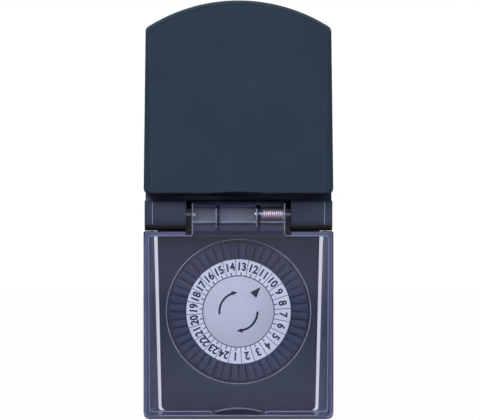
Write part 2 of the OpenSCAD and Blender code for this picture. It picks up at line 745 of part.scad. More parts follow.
module timer_lid() color([0.5, 0.53, 0.65, 0.35]) at_height() {
    lid_shell();
    lid_tongue();
}

module lid_pin_left() color([0.78, 0.79, 0.8]) at_height()
    bar_x([y_hinge, lid_axis_h], pin_r, -block_in - pin_seat_l, -tongue_w / 2 + tongue_cheek + 1);

module lid_pin_right() color([0.78, 0.79, 0.8]) at_height()
    bar_x([y_hinge, lid_axis_h], pin_r, tongue_ribs[1] - 1.5, block_in + pin_seat_l);

// A close-wound coil on a pin, as rings side by side
module coil(turns)
    rotate([0, 90, 0]) rotate_extrude()
        for (k = [0:turns - 1])
            translate([spring_r, (k + 0.5) * spring_pitch]) circle(r = spring_wire_r, $fn = 24);

module lid_spring() color([0.85, 0.8, 0.8]) at_height()
    translate([lid_spring_x, y_hinge, lid_axis_h]) coil(lid_spring_turns);

// --- Socket cover ---

module flap_shell() difference() {
    hull() {
        slab(y_flap, y_flap + 0.1) flap_outline(flap_bevel);
        slab(y_flap + flap_bevel, y_flap_rear) flap_outline();
    }
    slab(y_flap + flap_wall, y_flap_rear + 1) flap_outline(flap_wall + 0.3);
    // finger recess in the lower edge
    bar_y([0, flap_foot + recess_rise - recess_r], recess_r, y_flap - 1, y_flap_rear + 1);
}

module flap_lug()
    slab_x(flap_lug_in, flap_lug_out) {
        translate([y_flap_axis, flap_axis_h]) circle(r = knuckle_r);
        translate([y_flap + flap_wall - 0.2, flap_axis_h - knuckle_r])
            square([y_flap_axis - y_flap - flap_wall + 0.2, 2 * knuckle_r]);
    }

module socket_flap() color([0.2, 0.23, 0.3]) at_height() difference() {
    union() {
        flap_shell();
        mirrored() flap_lug();
    }
    bar_x([y_flap_axis, flap_axis_h], pin_r + run_fit, -ear_out, ear_out);
}

module flap_gasket() color([0.07, 0.07, 0.08]) at_height() difference() {
    bar_y([0, plug_h], well_out + 1.6, y_flap + flap_wall, y_well - 0.3);
    bar_y([0, plug_h], well_out - 0.4, y_flap, y_well);
}

module flap_pin() color([0.78, 0.79, 0.8]) at_height()
    bar_x([y_flap_axis, flap_axis_h], pin_r, -ear_out, ear_out);

module flap_spring() color([0.8, 0.8, 0.8]) at_height()
    translate([flap_spring_x, y_flap_axis, flap_axis_h]) coil(flap_spring_turns);

rear_shell();
front_shell();
shell_gasket();
shell_screws();
plug_base();
line_pin();
neutral_pin();
plug_earth_strip();
socket_well();
socket_earth_clips();
line_contact();
neutral_contact();
line_feed_bar();
line_switched_bar();
neutral_bar();
movement_plate();
movement_screws();
dial_post();
pointer_disc();
wheel_axle();
lever_pin();
motor_can();
motor_coil();
motor_rotor();
output_pinion();
drive_wheel();
dial();
switch_lever();
contact_blade();
timer_lid();
lid_spring();
lid_pin_left();
lid_pin_right();
socket_flap();
flap_gasket();
flap_pin();
flap_spring();
tappet_group(1);  // tappets_01
tappet_group(2);  // tappets_02
tappet_group(3);  // tappets_03
tappet_group(4);  // tappets_04
tappet_group(5);  // tappets_05
tappet_group(6);  // tappets_06
tappet_group(7);  // tappets_07
tappet_group(8);  // tappets_08
tappet_group(9);  // tappets_09
tappet_group(10);  // tappets_10
tappet_group(11);  // tappets_11
tappet_group(12);  // tappets_12
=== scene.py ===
"""Visual model of an outdoor plug-in segment timer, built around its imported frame.

The socket cover, the clear lid, the springs and the dial's printing are modelled here. Every
other piece keeps the frame's own mesh and gets its edges and its finish here.
"""

import json
import logging
import math
from dataclasses import dataclass, field
from enum import Enum
from typing import Iterable, Sequence

import bmesh
import bpy
from mathutils import Matrix, Vector

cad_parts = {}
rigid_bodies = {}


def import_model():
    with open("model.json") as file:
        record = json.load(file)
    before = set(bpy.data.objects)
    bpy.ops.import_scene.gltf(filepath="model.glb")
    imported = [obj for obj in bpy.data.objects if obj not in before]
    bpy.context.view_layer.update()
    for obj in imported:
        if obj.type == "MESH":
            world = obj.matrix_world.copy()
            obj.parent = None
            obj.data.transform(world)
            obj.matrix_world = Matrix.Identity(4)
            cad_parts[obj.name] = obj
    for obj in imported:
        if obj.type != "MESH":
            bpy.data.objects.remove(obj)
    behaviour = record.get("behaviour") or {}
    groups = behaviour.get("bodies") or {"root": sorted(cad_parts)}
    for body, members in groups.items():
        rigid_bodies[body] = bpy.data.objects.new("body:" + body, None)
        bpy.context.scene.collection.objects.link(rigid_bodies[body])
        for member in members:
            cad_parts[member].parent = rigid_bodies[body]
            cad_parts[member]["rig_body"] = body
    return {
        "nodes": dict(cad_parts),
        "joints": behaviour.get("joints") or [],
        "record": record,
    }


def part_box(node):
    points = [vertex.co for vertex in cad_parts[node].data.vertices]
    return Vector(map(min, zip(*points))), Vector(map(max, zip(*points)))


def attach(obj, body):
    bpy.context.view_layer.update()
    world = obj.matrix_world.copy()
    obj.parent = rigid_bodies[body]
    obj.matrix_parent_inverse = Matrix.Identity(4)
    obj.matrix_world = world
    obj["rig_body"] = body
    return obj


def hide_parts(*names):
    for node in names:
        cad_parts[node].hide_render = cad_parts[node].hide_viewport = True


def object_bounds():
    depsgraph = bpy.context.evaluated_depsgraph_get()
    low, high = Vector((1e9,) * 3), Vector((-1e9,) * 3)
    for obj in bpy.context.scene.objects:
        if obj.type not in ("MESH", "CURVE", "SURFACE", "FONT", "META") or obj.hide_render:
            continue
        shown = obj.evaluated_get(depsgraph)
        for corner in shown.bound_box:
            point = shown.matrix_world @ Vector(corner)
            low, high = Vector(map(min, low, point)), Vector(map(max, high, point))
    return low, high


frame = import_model()
CAD_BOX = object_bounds()

MM = 0.001
LOG = logging.getLogger("segment_timer")
Point = tuple[float, float]
Colour = tuple[float, float, float]


# --- Numbers and outlines ---


def linear(red: int, green: int, blue: int) -> Colour:
    """Turns a display colour of 0 to 255 into the linear colour that a shader takes.

    Args:
        red: Red as shown, 0 to 255.
        green: Green as shown, 0 to 255.
        blue: Blue as shown, 0 to 255.

    Returns:
        The linear red, green and blue.
    """

    def channel(value: int) -> float:
        """Gives one channel in linear light."""
        share = value / 255
        return share / 12.92 if share <= 0.04045 else ((share + 0.055) / 1.055) ** 2.4

    return channel(red), channel(green), channel(blue)


def arc(centre: Point, radius: float, start: float, end: float, steps: int) -> list[Point]:
    """Gives points along an arc, both ends included.

    Args:
        centre: Middle of the arc.
        radius: Its radius.
        start: Angle of the first point in degrees.
        end: Angle of the last point in degrees.
        steps: Number of stretches between points.

    Returns:
        The points in order.
    """
    angles = [math.radians(start + (end - start) * k / steps) for k in range(steps + 1)]
    return [(centre[0] + radius * math.cos(a), centre[1] + radius * math.sin(a)) for a in angles]


def fillet(corner: Vector, before: Vector, after: Vector, radius: float, steps: int) -> list[Vector]:
    """Rounds one corner of a line.

    Args:
        corner: The corner to round.
        before: The point before it.
        after: The point after it.
        radius: Radius of the rounding.
        steps: Number of stretches in the rounding.

    Returns:
        The points that take the corner's place.
    """
    one, two = (before - corner), (after - corner)
    half = one.angle(two) / 2
    back = min(radius / math.tan(half), one.length * 0.49, two.length * 0.49)
    start, end = corner + one.normalized() * back, corner + two.normalized() * back
    points = []
    for k in range(steps + 1):
        t = k / steps
        points.append(start * (1 - t) ** 2 + corner * 2 * t * (1 - t) + end * t**2)
    return points


def soften(points: Sequence[Vector], radius: float, steps: int = 3) -> list[Vector]:
    """Rounds every inner corner of an open line.

    Args:
        points: The line's points.
        radius: Radius of each rounding.
        steps: Number of stretches in each rounding.

    Returns:
        The rounded line.
    """
    line = [points[0]]
    for before, corner, after in zip(points, points[1:], points[2:]):
        line += fillet(corner, before, after, radius, steps)
    return line + [points[-1]]


# --- Mesh building ---


def make_object(name: str, mesh: bpy.types.Mesh) -> bpy.types.Object:
    """Links a mesh into the scene as a new object.

    Args:
        name: Name of the piece.
        mesh: Its mesh.

    Returns:
        The new object.
    """
    mesh.name = name
    made = bpy.data.objects.new(name, mesh)
    bpy.context.scene.collection.objects.link(made)
    return made


def from_bmesh(name: str, work: bmesh.types.BMesh) -> bpy.types.Object:
    """Turns a bmesh into an object with its faces pointing outward."""
    bmesh.ops.remove_doubles(work, verts=work.verts, dist=1e-7)
    bmesh.ops.recalc_face_normals(work, faces=work.faces)
    mesh = bpy.data.meshes.new(name)
    work.to_mesh(mesh)
    work.free()
    return make_object(name, mesh)


def loft(name: str, rings: Sequence[Sequence[Vector]], closed: bool = False) -> bpy.types.Object:
    """Joins rings of equal point count into one closed skin.

    Args:
        name: Name of the piece.
        rings: Rings of points in order.
        closed: True if the last ring joins the first, so that no end is capped.

    Returns:
        The new object.
    """
    work = bmesh.new()
    rows = [[work.verts.new(point) for point in ring] for ring in rings]
    pairs = list(zip(rows, rows[1:])) + ([(rows[-1], rows[0])] if closed else [])
    for low, high in pairs:
        for k in range(len(low)):
            after = (k + 1) % len(low)
            work.faces.new((low[k], low[after], high[after], high[k]))
    if not closed:
        work.faces.new(list(reversed(rows[0])))
        work.faces.new(rows[-1])
    return from_bmesh(name, work)


def front_ring(outline: Sequence[Point], depth: float) -> list[Vector]:
    """Places an outline in X and height at one depth."""
    return [Vector((x, depth, z)) for x, z in outline]


def slab(name: str, outline: Sequence[Point], front: float, rear: float) -> bpy.types.Object:
    """Gives an outline in X and height a thickness along Y."""
    return loft(name, [front_ring(outline, front), front_ring(outline, rear)])


def slab_x(name: str, outline: Sequence[Point], low: float, high: float) -> bpy.types.Object:
    """Gives a profile in Y and height a thickness along X."""
    return loft(name, [[Vector((x, y, z)) for y, z in outline] for x in (low, high)])


def turned(name: str, profile: Sequence[Point], centre: Vector, steps: int = 96) -> bpy.types.Object:
    """Turns a closed profile about an axis along Y.

    Args:
        name: Name of the piece.
        profile: Points of radius and depth, all off the axis.
        centre: A point on the axis.
        steps: Number of stretches round the axis.

    Returns:
        The new object.
    """
    rings = []
    for k in range(steps):
        a = 2 * math.pi * k / steps
        rings.append([Vector((centre.x + r * math.cos(a), y, centre.z + r * math.sin(a))) for r, y in profile])
    return loft(name, rings, closed=True)


def tube(name: str, path: Sequence[Vector], radius: float, sides: int = 12) -> bpy.types.Object:
    """Sweeps a round wire along a path, with domed ends.

    Args:
        name: Name of the piece.
        path: Points along the wire's middle.
        radius: Radius of the wire.
        sides: Number of sides round the wire.

    Returns:
        The new object.
    """
    rings = []
    side = (path[1] - path[0]).orthogonal().normalized()
    for k, point in enumerate(path):
        along = (path[min(k + 1, len(path) - 1)] - path[max(k - 1, 0)]).normalized()
        side = (side - along * side.dot(along)).normalized()
        up = along.cross(side)
        ring = [
            side * math.cos(2 * math.pi * n / sides) + up * math.sin(2 * math.pi * n / sides)
            for n in range(sides)
        ]
        if k == 0:
            rings.append([point - along * radius * 0.5 + r * radius * 0.45 for r in ring])
        rings.append([point + r * radius for r in ring])
        if k == len(path) - 1:
            rings.append([point + along * radius * 0.5 + r * radius * 0.45 for r in ring])
    return loft(name, rings)


def combine(piece: bpy.types.Object, tool: bpy.types.Object, operation: str) -> bpy.types.Object:
    """Cuts a tool out of a piece or joins it to the piece, and removes the tool.

    Args:
        piece: The piece that changes.
        tool: The piece that is used up.
        operation: DIFFERENCE or UNION.

    Returns:
        The changed piece.
    """
    step = piece.modifiers.new("combine", "BOOLEAN")
    step.operation = operation
    step.solver = "EXACT"
    step.object = tool
    evaluated = piece.evaluated_get(bpy.context.evaluated_depsgraph_get())
    mesh = bpy.data.meshes.new_from_object(evaluated)
    piece.modifiers.clear()
    piece.data = mesh
    bpy.data.objects.remove(tool)
    return piece


def join(name: str, parts: Sequence[bpy.types.Object]) -> bpy.types.Object:
    """Makes one object of several, keeping each one's solid as it is."""
    work = bmesh.new()
    for part in parts:
        part.data.transform(part.matrix_world)
        work.from_mesh(part.data)
        bpy.data.objects.remove(part)
    mesh = bpy.data.meshes.new(name)
    work.to_mesh(mesh)
    work.free()
    return make_object(name, mesh)


def round_edges(piece: bpy.types.Object, width: float, angle: float = 32, steps: int = 2) -> None:
    """Rounds a piece's sharp edges and smooths its curved faces.

    Args:
        piece: The piece to round.
        width: Width of the rounding in metres.
        angle: Least angle between faces, in degrees, that counts as an edge.
        steps: Number of stretches in each rounding.
    """
    weld = piece.modifiers.new("weld", "WELD")
    weld.merge_threshold = 2e-6
    bevel = piece.modifiers.new("round", "BEVEL")
    bevel.width = width
    bevel.segments = steps
    bevel.limit_method = "ANGLE"
    bevel.angle_limit = math.radians(angle)
    bevel.use_clamp_overlap = True
    bevel.miter_outer = "MITER_ARC"
    bevel.harden_normals = True
    for face in piece.data.polygons:
        face.use_smooth = True
    piece.data.set_sharp_from_angle(angle=math.radians(angle))


# --- Finishes ---


class Texture(Enum):
    """How fine the moulded surface of a plastic is."""

    POLISHED = 0.25
    SATIN = 0.42
    SPARKED = 1.0


class NodeBench:
    """A material under construction, with short ways to add and wire its nodes."""

    def __init__(self, name: str) -> None:
        """Starts an empty material."""
        self.material = bpy.data.materials.new(name)
        self.material.use_nodes = True
        self.tree = self.material.node_tree
        self.tree.nodes.clear()
        self.output = self.tree.nodes.new("ShaderNodeOutputMaterial")
        self.place = self.tree.nodes.new("ShaderNodeTexCoord").outputs["Object"]

    def node(self, kind: str, **values: object) -> bpy.types.Node:
        """Adds a node and sets its named inputs.

        Args:
            kind: Blender's name of the node's type.
            **values: Input names with spaces as underscores, and their values.

        Returns:
            The new node.
        """
        made = self.tree.nodes.new(kind)
        for key, value in values.items():
            made.inputs[key.replace("_", " ")].default_value = value
        return made

    def wire(self, source: bpy.types.NodeSocket, target: bpy.types.NodeSocket) -> None:
        """Links one socket to another."""
        self.tree.links.new(source, target)

    def noise(self, scale: float, detail: float, stretch: Colour = (1, 1, 1)) -> bpy.types.NodeSocket:
        """Adds noise in the object's own space.

        Args:
            scale: Waves per metre.
            detail: Number of finer layers.
            stretch: Scale along each axis.

        Returns:
            The noise's value socket.
        """
        spread = self.tree.nodes.new("ShaderNodeMapping")
        spread.inputs["Scale"].default_value = stretch
        self.wire(self.place, spread.inputs["Vector"])
        made = self.node("ShaderNodeTexNoise", Scale=scale, Detail=detail, Roughness=0.55)
        self.wire(spread.outputs["Vector"], made.inputs["Vector"])
        return made.outputs["Fac"]

    def ramp(self, source: bpy.types.NodeSocket, low: float, high: float) -> bpy.types.NodeSocket:
        """Maps the middle of a noise's range onto a range of its own.

        Args:
            source: The value to map.
            low: Result where the noise is low.
            high: Result where it is high.

        Returns:
            The mapped value's socket.
        """
        made = self.node("ShaderNodeMapRange")
        made.inputs["From Min"].default_value = 0.3
        made.inputs["From Max"].default_value = 0.7
        made.inputs["To Min"].default_value = low
        made.inputs["To Max"].default_value = high
        self.wire(source, made.inputs["Value"])
        return made.outputs["Result"]

    def step(self, source: bpy.types.NodeSocket, edge: float, width: float) -> bpy.types.NodeSocket:
        """Turns a place into 0 before an edge and 1 behind it.

        Args:
            source: The place along one axis.
            edge: Where the change starts.
            width: Length over which it changes.

        Returns:
            The step's socket.
        """
        made = self.node("ShaderNodeMapRange")
        made.inputs["From Min"].default_value = edge
        made.inputs["From Max"].default_value = edge + width
        self.wire(source, made.inputs["Value"])
        return made.outputs["Result"]

    def blend(self, factor: bpy.types.NodeSocket, one: Colour, two: Colour) -> bpy.types.NodeSocket:
        """Mixes two colours by a factor.

        Args:
            factor: Share of the second colour.
            one: First colour.
            two: Second colour.

        Returns:
            The mixed colour's socket.
        """
        made = self.tree.nodes.new("ShaderNodeMix")
        made.data_type = "RGBA"
        for socket in made.inputs:
            if socket.name == "A" and socket.type == "RGBA":
                socket.default_value = (*one, 1)
            if socket.name == "B" and socket.type == "RGBA":
                socket.default_value = (*two, 1)
        self.wire(factor, made.inputs["Factor"])
        return next(s for s in made.outputs if s.type == "RGBA")

    def bump(self, height: bpy.types.NodeSocket, depth: float, strength: float) -> bpy.types.NodeSocket:
        """Turns a height into a surface direction.

        Args:
            height: Value to raise the surface by.
            depth: Height of a full step in metres.
            strength: Share of the effect.

        Returns:
            The normal's socket.
        """
        made = self.node("ShaderNodeBump", Strength=strength, Distance=depth)
        self.wire(height, made.inputs["Height"])
        return made.outputs["Normal"]


def shade(colour: Colour, share: float) -> Colour:
    """Scales a colour's brightness."""
    return tuple(min(1.0, channel * share) for channel in colour)


@dataclass(frozen=True)
class Moulded:
    """An injection-moulded plastic with a fine spark-eroded surface."""

    name: str
    colour: Colour
    texture: Texture = Texture.SATIN
    roughness: float = 0.5
    specular: float = 0.15

    def build(self) -> bpy.types.Material:
        """Makes the material: cloudy colour, uneven gloss and a fine grain."""
        bench = NodeBench(self.name)
        skin = bench.node("ShaderNodeBsdfPrincipled")
        skin.inputs["IOR"].default_value = 1.49
        skin.inputs["Specular IOR Level"].default_value = self.specular
        clouds = bench.noise(45, 3)
        grain = bench.noise(5200, 2)
        tint = bench.blend(bench.ramp(clouds, 0, 1), shade(self.colour, 0.93), shade(self.colour, 1.07))
        bench.wire(tint, skin.inputs["Base Color"])
        spread = 0.05 * self.texture.value
        gloss = bench.ramp(bench.noise(380, 4), self.roughness - spread, self.roughness + spread)
        bench.wire(gloss, skin.inputs["Roughness"])
        bench.wire(bench.bump(grain, 0.00003, 0.55 * self.texture.value), skin.inputs["Normal"])
        bench.wire(skin.outputs["BSDF"], bench.output.inputs["Surface"])
        return bench.material


@dataclass(frozen=True)
class Metal:
    """A drawn, rolled or plated metal with fine lines along one axis."""

    name: str
    colour: Colour
    roughness: float = 0.3
    lines: Colour = (1, 1, 1)
    tarnish: float = 0.12

    def build(self) -> bpy.types.Material:
        """Makes the material: a metal with faint stains and fine drawn lines."""
        bench = NodeBench(self.name)
        skin = bench.node("ShaderNodeBsdfPrincipled", Metallic=1.0)
        stains = bench.ramp(bench.noise(160, 4), 0, 1)
        tint = bench.blend(stains, shade(self.colour, 1 - self.tarnish), self.colour)
        bench.wire(tint, skin.inputs["Base Color"])
        drawn = bench.noise(2600, 3, self.lines)
        bench.wire(bench.ramp(drawn, self.roughness - 0.08, self.roughness + 0.08), skin.inputs["Roughness"])
        bench.wire(bench.bump(drawn, 0.00001, 0.3), skin.inputs["Normal"])
        bench.wire(skin.outputs["BSDF"], bench.output.inputs["Surface"])
        return bench.material


@dataclass(frozen=True)
class Rubber:
    """A soft moulded seal, matt and slightly dusty."""

    name: str
    colour: Colour

    def build(self) -> bpy.types.Material:
        """Makes the material: matt, with a faint bloom and a fine grain."""
        bench = NodeBench(self.name)
        skin = bench.node("ShaderNodeBsdfPrincipled")
        skin.inputs["Specular IOR Level"].default_value = 0.3
        bloom = bench.ramp(bench.noise(300, 5), 0, 1)
        bench.wire(bench.blend(bloom, self.colour, shade(self.colour, 1.6)), skin.inputs["Base Color"])
        bench.wire(bench.ramp(bench.noise(900, 3), 0.72, 0.88), skin.inputs["Roughness"])
        bench.wire(bench.bump(bench.noise(3800, 2), 0.00003, 0.5), skin.inputs["Normal"])
        bench.wire(skin.outputs["BSDF"], bench.output.inputs["Surface"])
        return bench.material


@dataclass(frozen=True)
class Smoked:
    """A clear plastic with a smoky blue tint that deepens with its thickness, and lets lamps through.

    Its skirt, behind the front and below the hinge, is a little rougher, and its colour is darkened as painted shade
    for the light that the skirt's walls lose.
    """

    name: str
    tint: Colour
    skirt_tint: Colour
    skirt_start: float
    skirt_top: float
    depth_tint: Colour = (0.0, 0.07, 0.36)
    density: float = 235.0

    def build(self) -> bpy.types.Material:
        """Makes the material: polished clear plastic with faint wipe marks."""
        bench = NodeBench(self.name)
        clear = bench.node("ShaderNodeBsdfPrincipled")
        clear.inputs["Transmission Weight"].default_value = 1.0
        clear.inputs["IOR"].default_value = 1.46
        place = bench.node("ShaderNodeSeparateXYZ")
        bench.wire(bench.place, place.inputs["Vector"])
        behind = bench.step(place.outputs["Y"], self.skirt_start, 0.2 * MM)
        above = bench.step(place.outputs["Z"], self.skirt_top, 0.5 * MM)
        skirt = bench.node("ShaderNodeMath")
        skirt.operation = "SUBTRACT"
        skirt.use_clamp = True
        bench.wire(behind, skirt.inputs[0])
        bench.wire(above, skirt.inputs[1])
        # Painted shade: the base colour is darkened where the skirt mask is 1; the same mask also adds a little
        # roughness.
        bench.wire(bench.blend(skirt.outputs["Value"], self.tint, self.skirt_tint), clear.inputs["Base Color"])
        wipes = bench.ramp(bench.noise(420, 5, (1, 1, 3)), 0.01, 0.04)
        grain = bench.node("ShaderNodeMath")
        grain.operation = "MULTIPLY_ADD"
        grain.inputs[1].default_value = 0.03
        bench.wire(skirt.outputs["Value"], grain.inputs[0])
        bench.wire(wipes, grain.inputs[2])
        bench.wire(grain.outputs["Value"], clear.inputs["Roughness"])
        through = bench.node("ShaderNodeBsdfTransparent")
        through.inputs["Color"].default_value = (*self.tint, 1)
        path = bench.tree.nodes.new("ShaderNodeLightPath")
        lamps = bench.tree.nodes.new("ShaderNodeMixShader")
        bench.wire(path.outputs["Is Shadow Ray"], lamps.inputs["Fac"])
        bench.wire(clear.outputs["BSDF"], lamps.inputs[1])
        bench.wire(through.outputs["BSDF"], lamps.inputs[2])
        bench.wire(lamps.outputs["Shader"], bench.output.inputs["Surface"])
        inside = bench.node("ShaderNodeVolumeAbsorption")
        inside.inputs["Color"].default_value = (*self.depth_tint, 1)
        inside.inputs["Density"].default_value = self.density
        bench.wire(inside.outputs["Volume"], bench.output.inputs["Volume"])
        return bench.material


@dataclass(frozen=True)
class Ink:
    """A pad-printed ink, slightly uneven where it thins."""

    name: str
    colour: Colour

    def build(self) -> bpy.types.Material:
        """Makes the material: matt ink that varies with its thickness."""
        bench = NodeBench(self.name)
        skin = bench.node("ShaderNodeBsdfPrincipled")
        skin.inputs["Specular IOR Level"].default_value = 0.25
        thin = bench.ramp(bench.noise(700, 3), 0, 1)
        bench.wire(bench.blend(thin, self.colour, shade(self.colour, 1.5)), skin.inputs["Base Color"])
        bench.wire(bench.ramp(bench.noise(1500, 2), 0.5, 0.65), skin.inputs["Roughness"])
        bench.wire(skin.outputs["BSDF"], bench.output.inputs["Surface"])
        return bench.material


FINISHES = {
    "cover_plastic": Moulded("cover_plastic", linear(30, 44, 58), Texture.SATIN, 0.42),
    "shell_plastic": Moulded("shell_plastic", linear(41, 48, 66), Texture.SATIN, 0.5),
    # A near-white colour for the ring round the dial's opening, as a painted highlight.
    "face_line": Moulded("face_line", linear(186, 190, 196), Texture.POLISHED, 0.4),
    "insert_plastic": Moulded("insert_plastic", linear(40, 42, 48), Texture.SPARKED, 0.45),
    "tappet_plastic": Moulded("tappet_plastic", linear(58, 64, 84), Texture.SATIN, 0.5),
    "dial_plastic": Moulded("dial_plastic", linear(54, 59, 78), Texture.SATIN, 0.5),
    "ring_plastic": Moulded("ring_plastic", linear(252, 250, 240), Texture.POLISHED, 0.45),
    "disc_plastic": Moulded("disc_plastic", linear(222, 220, 212), Texture.POLISHED, 0.45),
    "gear_plastic": Moulded("gear_plastic", linear(226, 222, 208), Texture.POLISHED, 0.4),
    "coil_wire": Metal("coil_wire", linear(176, 96, 52), 0.35, (1, 12, 1)),
    "rotor_magnet": Moulded("rotor_magnet", linear(58, 58, 62), Texture.SPARKED, 0.6),
    "black_rubber": Rubber("black_rubber", linear(28, 28, 31)),
    "zinc_screw": Metal("zinc_screw", linear(202, 204, 208), 0.32, (1, 1, 1)),
    "nickel_pin": Metal("nickel_pin", linear(206, 205, 202), 0.2, (8, 1, 8), 0.06),
    "brass_strip": Metal("brass_strip", linear(214, 184, 112), 0.28, (1, 8, 1)),
    "copper_bar": Metal("copper_bar", linear(204, 138, 100), 0.3, (1, 1, 8)),
    "steel_plate": Metal("steel_plate", linear(188, 190, 194), 0.36, (1, 1, 10)),
    "motor_steel": Metal("motor_steel", linear(168, 170, 174), 0.38, (1, 10, 1)),
    "spring_steel": Metal("spring_steel", linear(250, 230, 232), 0.45, (1, 1, 1), 0.1),
    # The second colour of the smoked clear plastic paints shade on the lid's skirt.
    "smoked_clear": Smoked("smoked_clear", linear(250, 250, 253), linear(112, 118, 149), -59.7 * MM,
                           -45.6 * MM),
    # A pale colour for the beads that paint highlights along the lid's edges.
    "lid_painted_highlight": Moulded("lid_painted_highlight", linear(146, 150, 168), Texture.POLISHED, 0.35),
    # A pale colour for the band that paints light in the lid's rim.
    "lid_rim_painted_light": Moulded("lid_rim_painted_light", linear(101, 103, 125), Texture.POLISHED, 0.4),
    # A pale colour that paints the light seen through the tongue and the highlight lines on the hinge blocks.
    "pale_painted_light": Moulded("pale_painted_light", linear(134, 140, 148), Texture.SATIN, 0.4),
    "print_ink": Ink("print_ink", linear(26, 28, 40)),
}


class FinishShelf:
    """Builds each finish once and puts it on pieces."""

    def __init__(self) -> None:
        """Starts with nothing built."""
        self.made: dict[str, bpy.types.Material] = {}

    def apply(self, piece: bpy.types.Object, finish: str, slot: str | None = None) -> None:
        """Gives a piece its finish.

        Args:
            piece: The piece to dress.
            finish: Name of the finish.
            slot: The record's material slot for a new piece, or None for a CAD node; not used.
        """
        if finish not in self.made:
            self.made[finish] = FINISHES[finish].build()
        piece.data.materials.clear()
        piece.data.materials.append(self.made[finish])


SHELF = FinishShelf()


def report(piece: bpy.types.Object, body: str) -> None:
    """Says in the log that a piece is ready and what it moves with."""
    LOG.info("%s rides on %s with %d faces", piece.name, body, len(piece.data.polygons))


# --- Places taken from the frame ---


def joint_point(name: str) -> Vector:
    """Gives the point on a joint's axis that the record states."""
    return Vector(next(j["pos_m"] for j in frame["joints"] if j["name"] == name))


# --- Socket cover ---


@dataclass
class SocketCover:
    """The arched cover over the socket, with its two hinge lugs."""

    panel_sink: float = 0.14 * MM
    shoulder_drop: float = 11 * MM
    arch_radius: float = 66.6 * MM
    shoulder_tuck: float = 0.8 * MM
    corner: float = 2.5 * MM
    wall: float = 2 * MM
    bevel_top: float = 1.2 * MM
    bevel_foot: float = 2.9 * MM
    bevel_low: float = 0.5 * MM
    bevel_depth: float = 2.0 * MM
    recess_half: float = 9.6 * MM
    recess_rise: float = 0.45 * MM
    lug_in: float = 6 * MM
    lug_out: float = 9.7 * MM
    lug_radius: float = 2.9 * MM
    pin_hole: float = 1.3 * MM
    low: Vector = field(default_factory=lambda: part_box("socket_flap")[0])
    high: Vector = field(default_factory=lambda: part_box("socket_flap")[1])

    def outline(self, inset_top: float, inset_foot: float, inset_low: float) -> list[Point]:
        """Gives the cover's outline, drawn in from its edge.

        Args:
            inset_top: Distance drawn in at the arch and the shoulders.
            inset_foot: Distance drawn in at the sides' lower ends.
            inset_low: Distance drawn in at the lower edge.

        Returns:
            Points of X and height, in order round the outline.
        """
        half_foot = self.high.x - inset_foot
        half_top = self.high.x - self.shoulder_tuck - inset_top
        foot = self.low.z + inset_low
        middle = self.high.z - self.arch_radius
        radius = self.arch_radius - inset_top
        shoulder = math.degrees(math.asin(half_top / radius))
        corner = max(self.corner - inset_low * 2, 1.0 * MM)
        blend = max(self.corner - inset_top, 0.5 * MM)
        top = arc((0, middle), radius, 90 - shoulder, 90 + shoulder, 30)
        crown = [Vector((x, z)) for x, z in top]
        lower_left, lower_right = Vector((-half_foot, foot)), Vector((half_foot, foot))
        points = fillet(crown[-1], crown[-2], lower_left, blend, 5)
        points += fillet(lower_left, crown[-1], lower_right, corner, 6)
        rise = self.recess_rise
        reach = self.recess_half
        bow = (reach**2 + rise**2) / (2 * rise) + inset_low
        spread = math.degrees(math.asin(min(1.0, reach / bow)))
        drop = foot + rise - bow
        notch = arc((0, drop), bow, 90 + spread, 90 - spread, 16)
        points += [Vector(p) for p in notch]
        points += fillet(lower_right, lower_left, crown[0], corner, 6)
        points += fillet(crown[0], lower_right, crown[1], blend, 5)
        points += crown[1:-1]
        return [(p.x, p.y) for p in points]

    def shell(self) -> bpy.types.Object:
        """Builds the cap: front with sloped edge, skirt and hollow inside."""
        front, rear = self.low.y, self.high.y
        line = [
            Vector((front + self.panel_sink, 1, 1.6 * MM)),
            Vector((front + self.panel_sink, 1, 0.45 * MM)),
            Vector((front, 1, 0.1 * MM)),
            Vector((front + self.bevel_depth, 0, 0)),
            Vector((rear, 0, 0)),
            Vector((rear, 0, self.wall)),
            Vector((front + self.wall, 0, self.wall * 1.1)),
            Vector((front + self.wall, 0, self.wall * 1.2)),
        ]
        rings = []
        for step in soften(line, 0.12 * MM, 2):
            top = step.y * self.bevel_top + step.z
            foot = step.y * self.bevel_foot + step.z
            low = step.y * self.bevel_low + step.z * (0.25 if step.y > 0 else 1)
            rings.append(front_ring(self.outline(top, foot, low), step.x))
        return loft("socket_cover", rings)

    def lug(self, side: int) -> bpy.types.Object:
        """Builds one hinge lug on the cover's inside."""
        axis = joint_point("flap_hinge")
        root = self.low.y + self.wall * 0.8
        nose = arc((axis.y, axis.z), self.lug_radius, -90, 90, 14)
        profile = [(root, axis.z - self.lug_radius), *nose, (root, axis.z + self.lug_radius)]
        low, high = sorted((side * self.lug_in, side * self.lug_out))
        return slab_x("lug", profile, low, high)

    def build(self) -> None:
        """Builds the cover, drills its lugs and puts it on its body."""
        axis = joint_point("flap_hinge")
        cover = self.shell()
        for side in (-1, 1):
            combine(cover, self.lug(side), "UNION")
        hole = slab_x("hole", arc((axis.y, axis.z), self.pin_hole, 0, 352.5, 47), -self.lug_out * 1.1,
                      self.lug_out * 1.1)
        combine(cover, hole, "DIFFERENCE")
        round_edges(cover, 0.12 * MM, 40)
        SHELF.apply(cover, "cover_plastic", "cover_plastic")
        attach(cover, "flap")
        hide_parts("socket_flap")
        report(cover, "flap")


# --- Clear lid ---


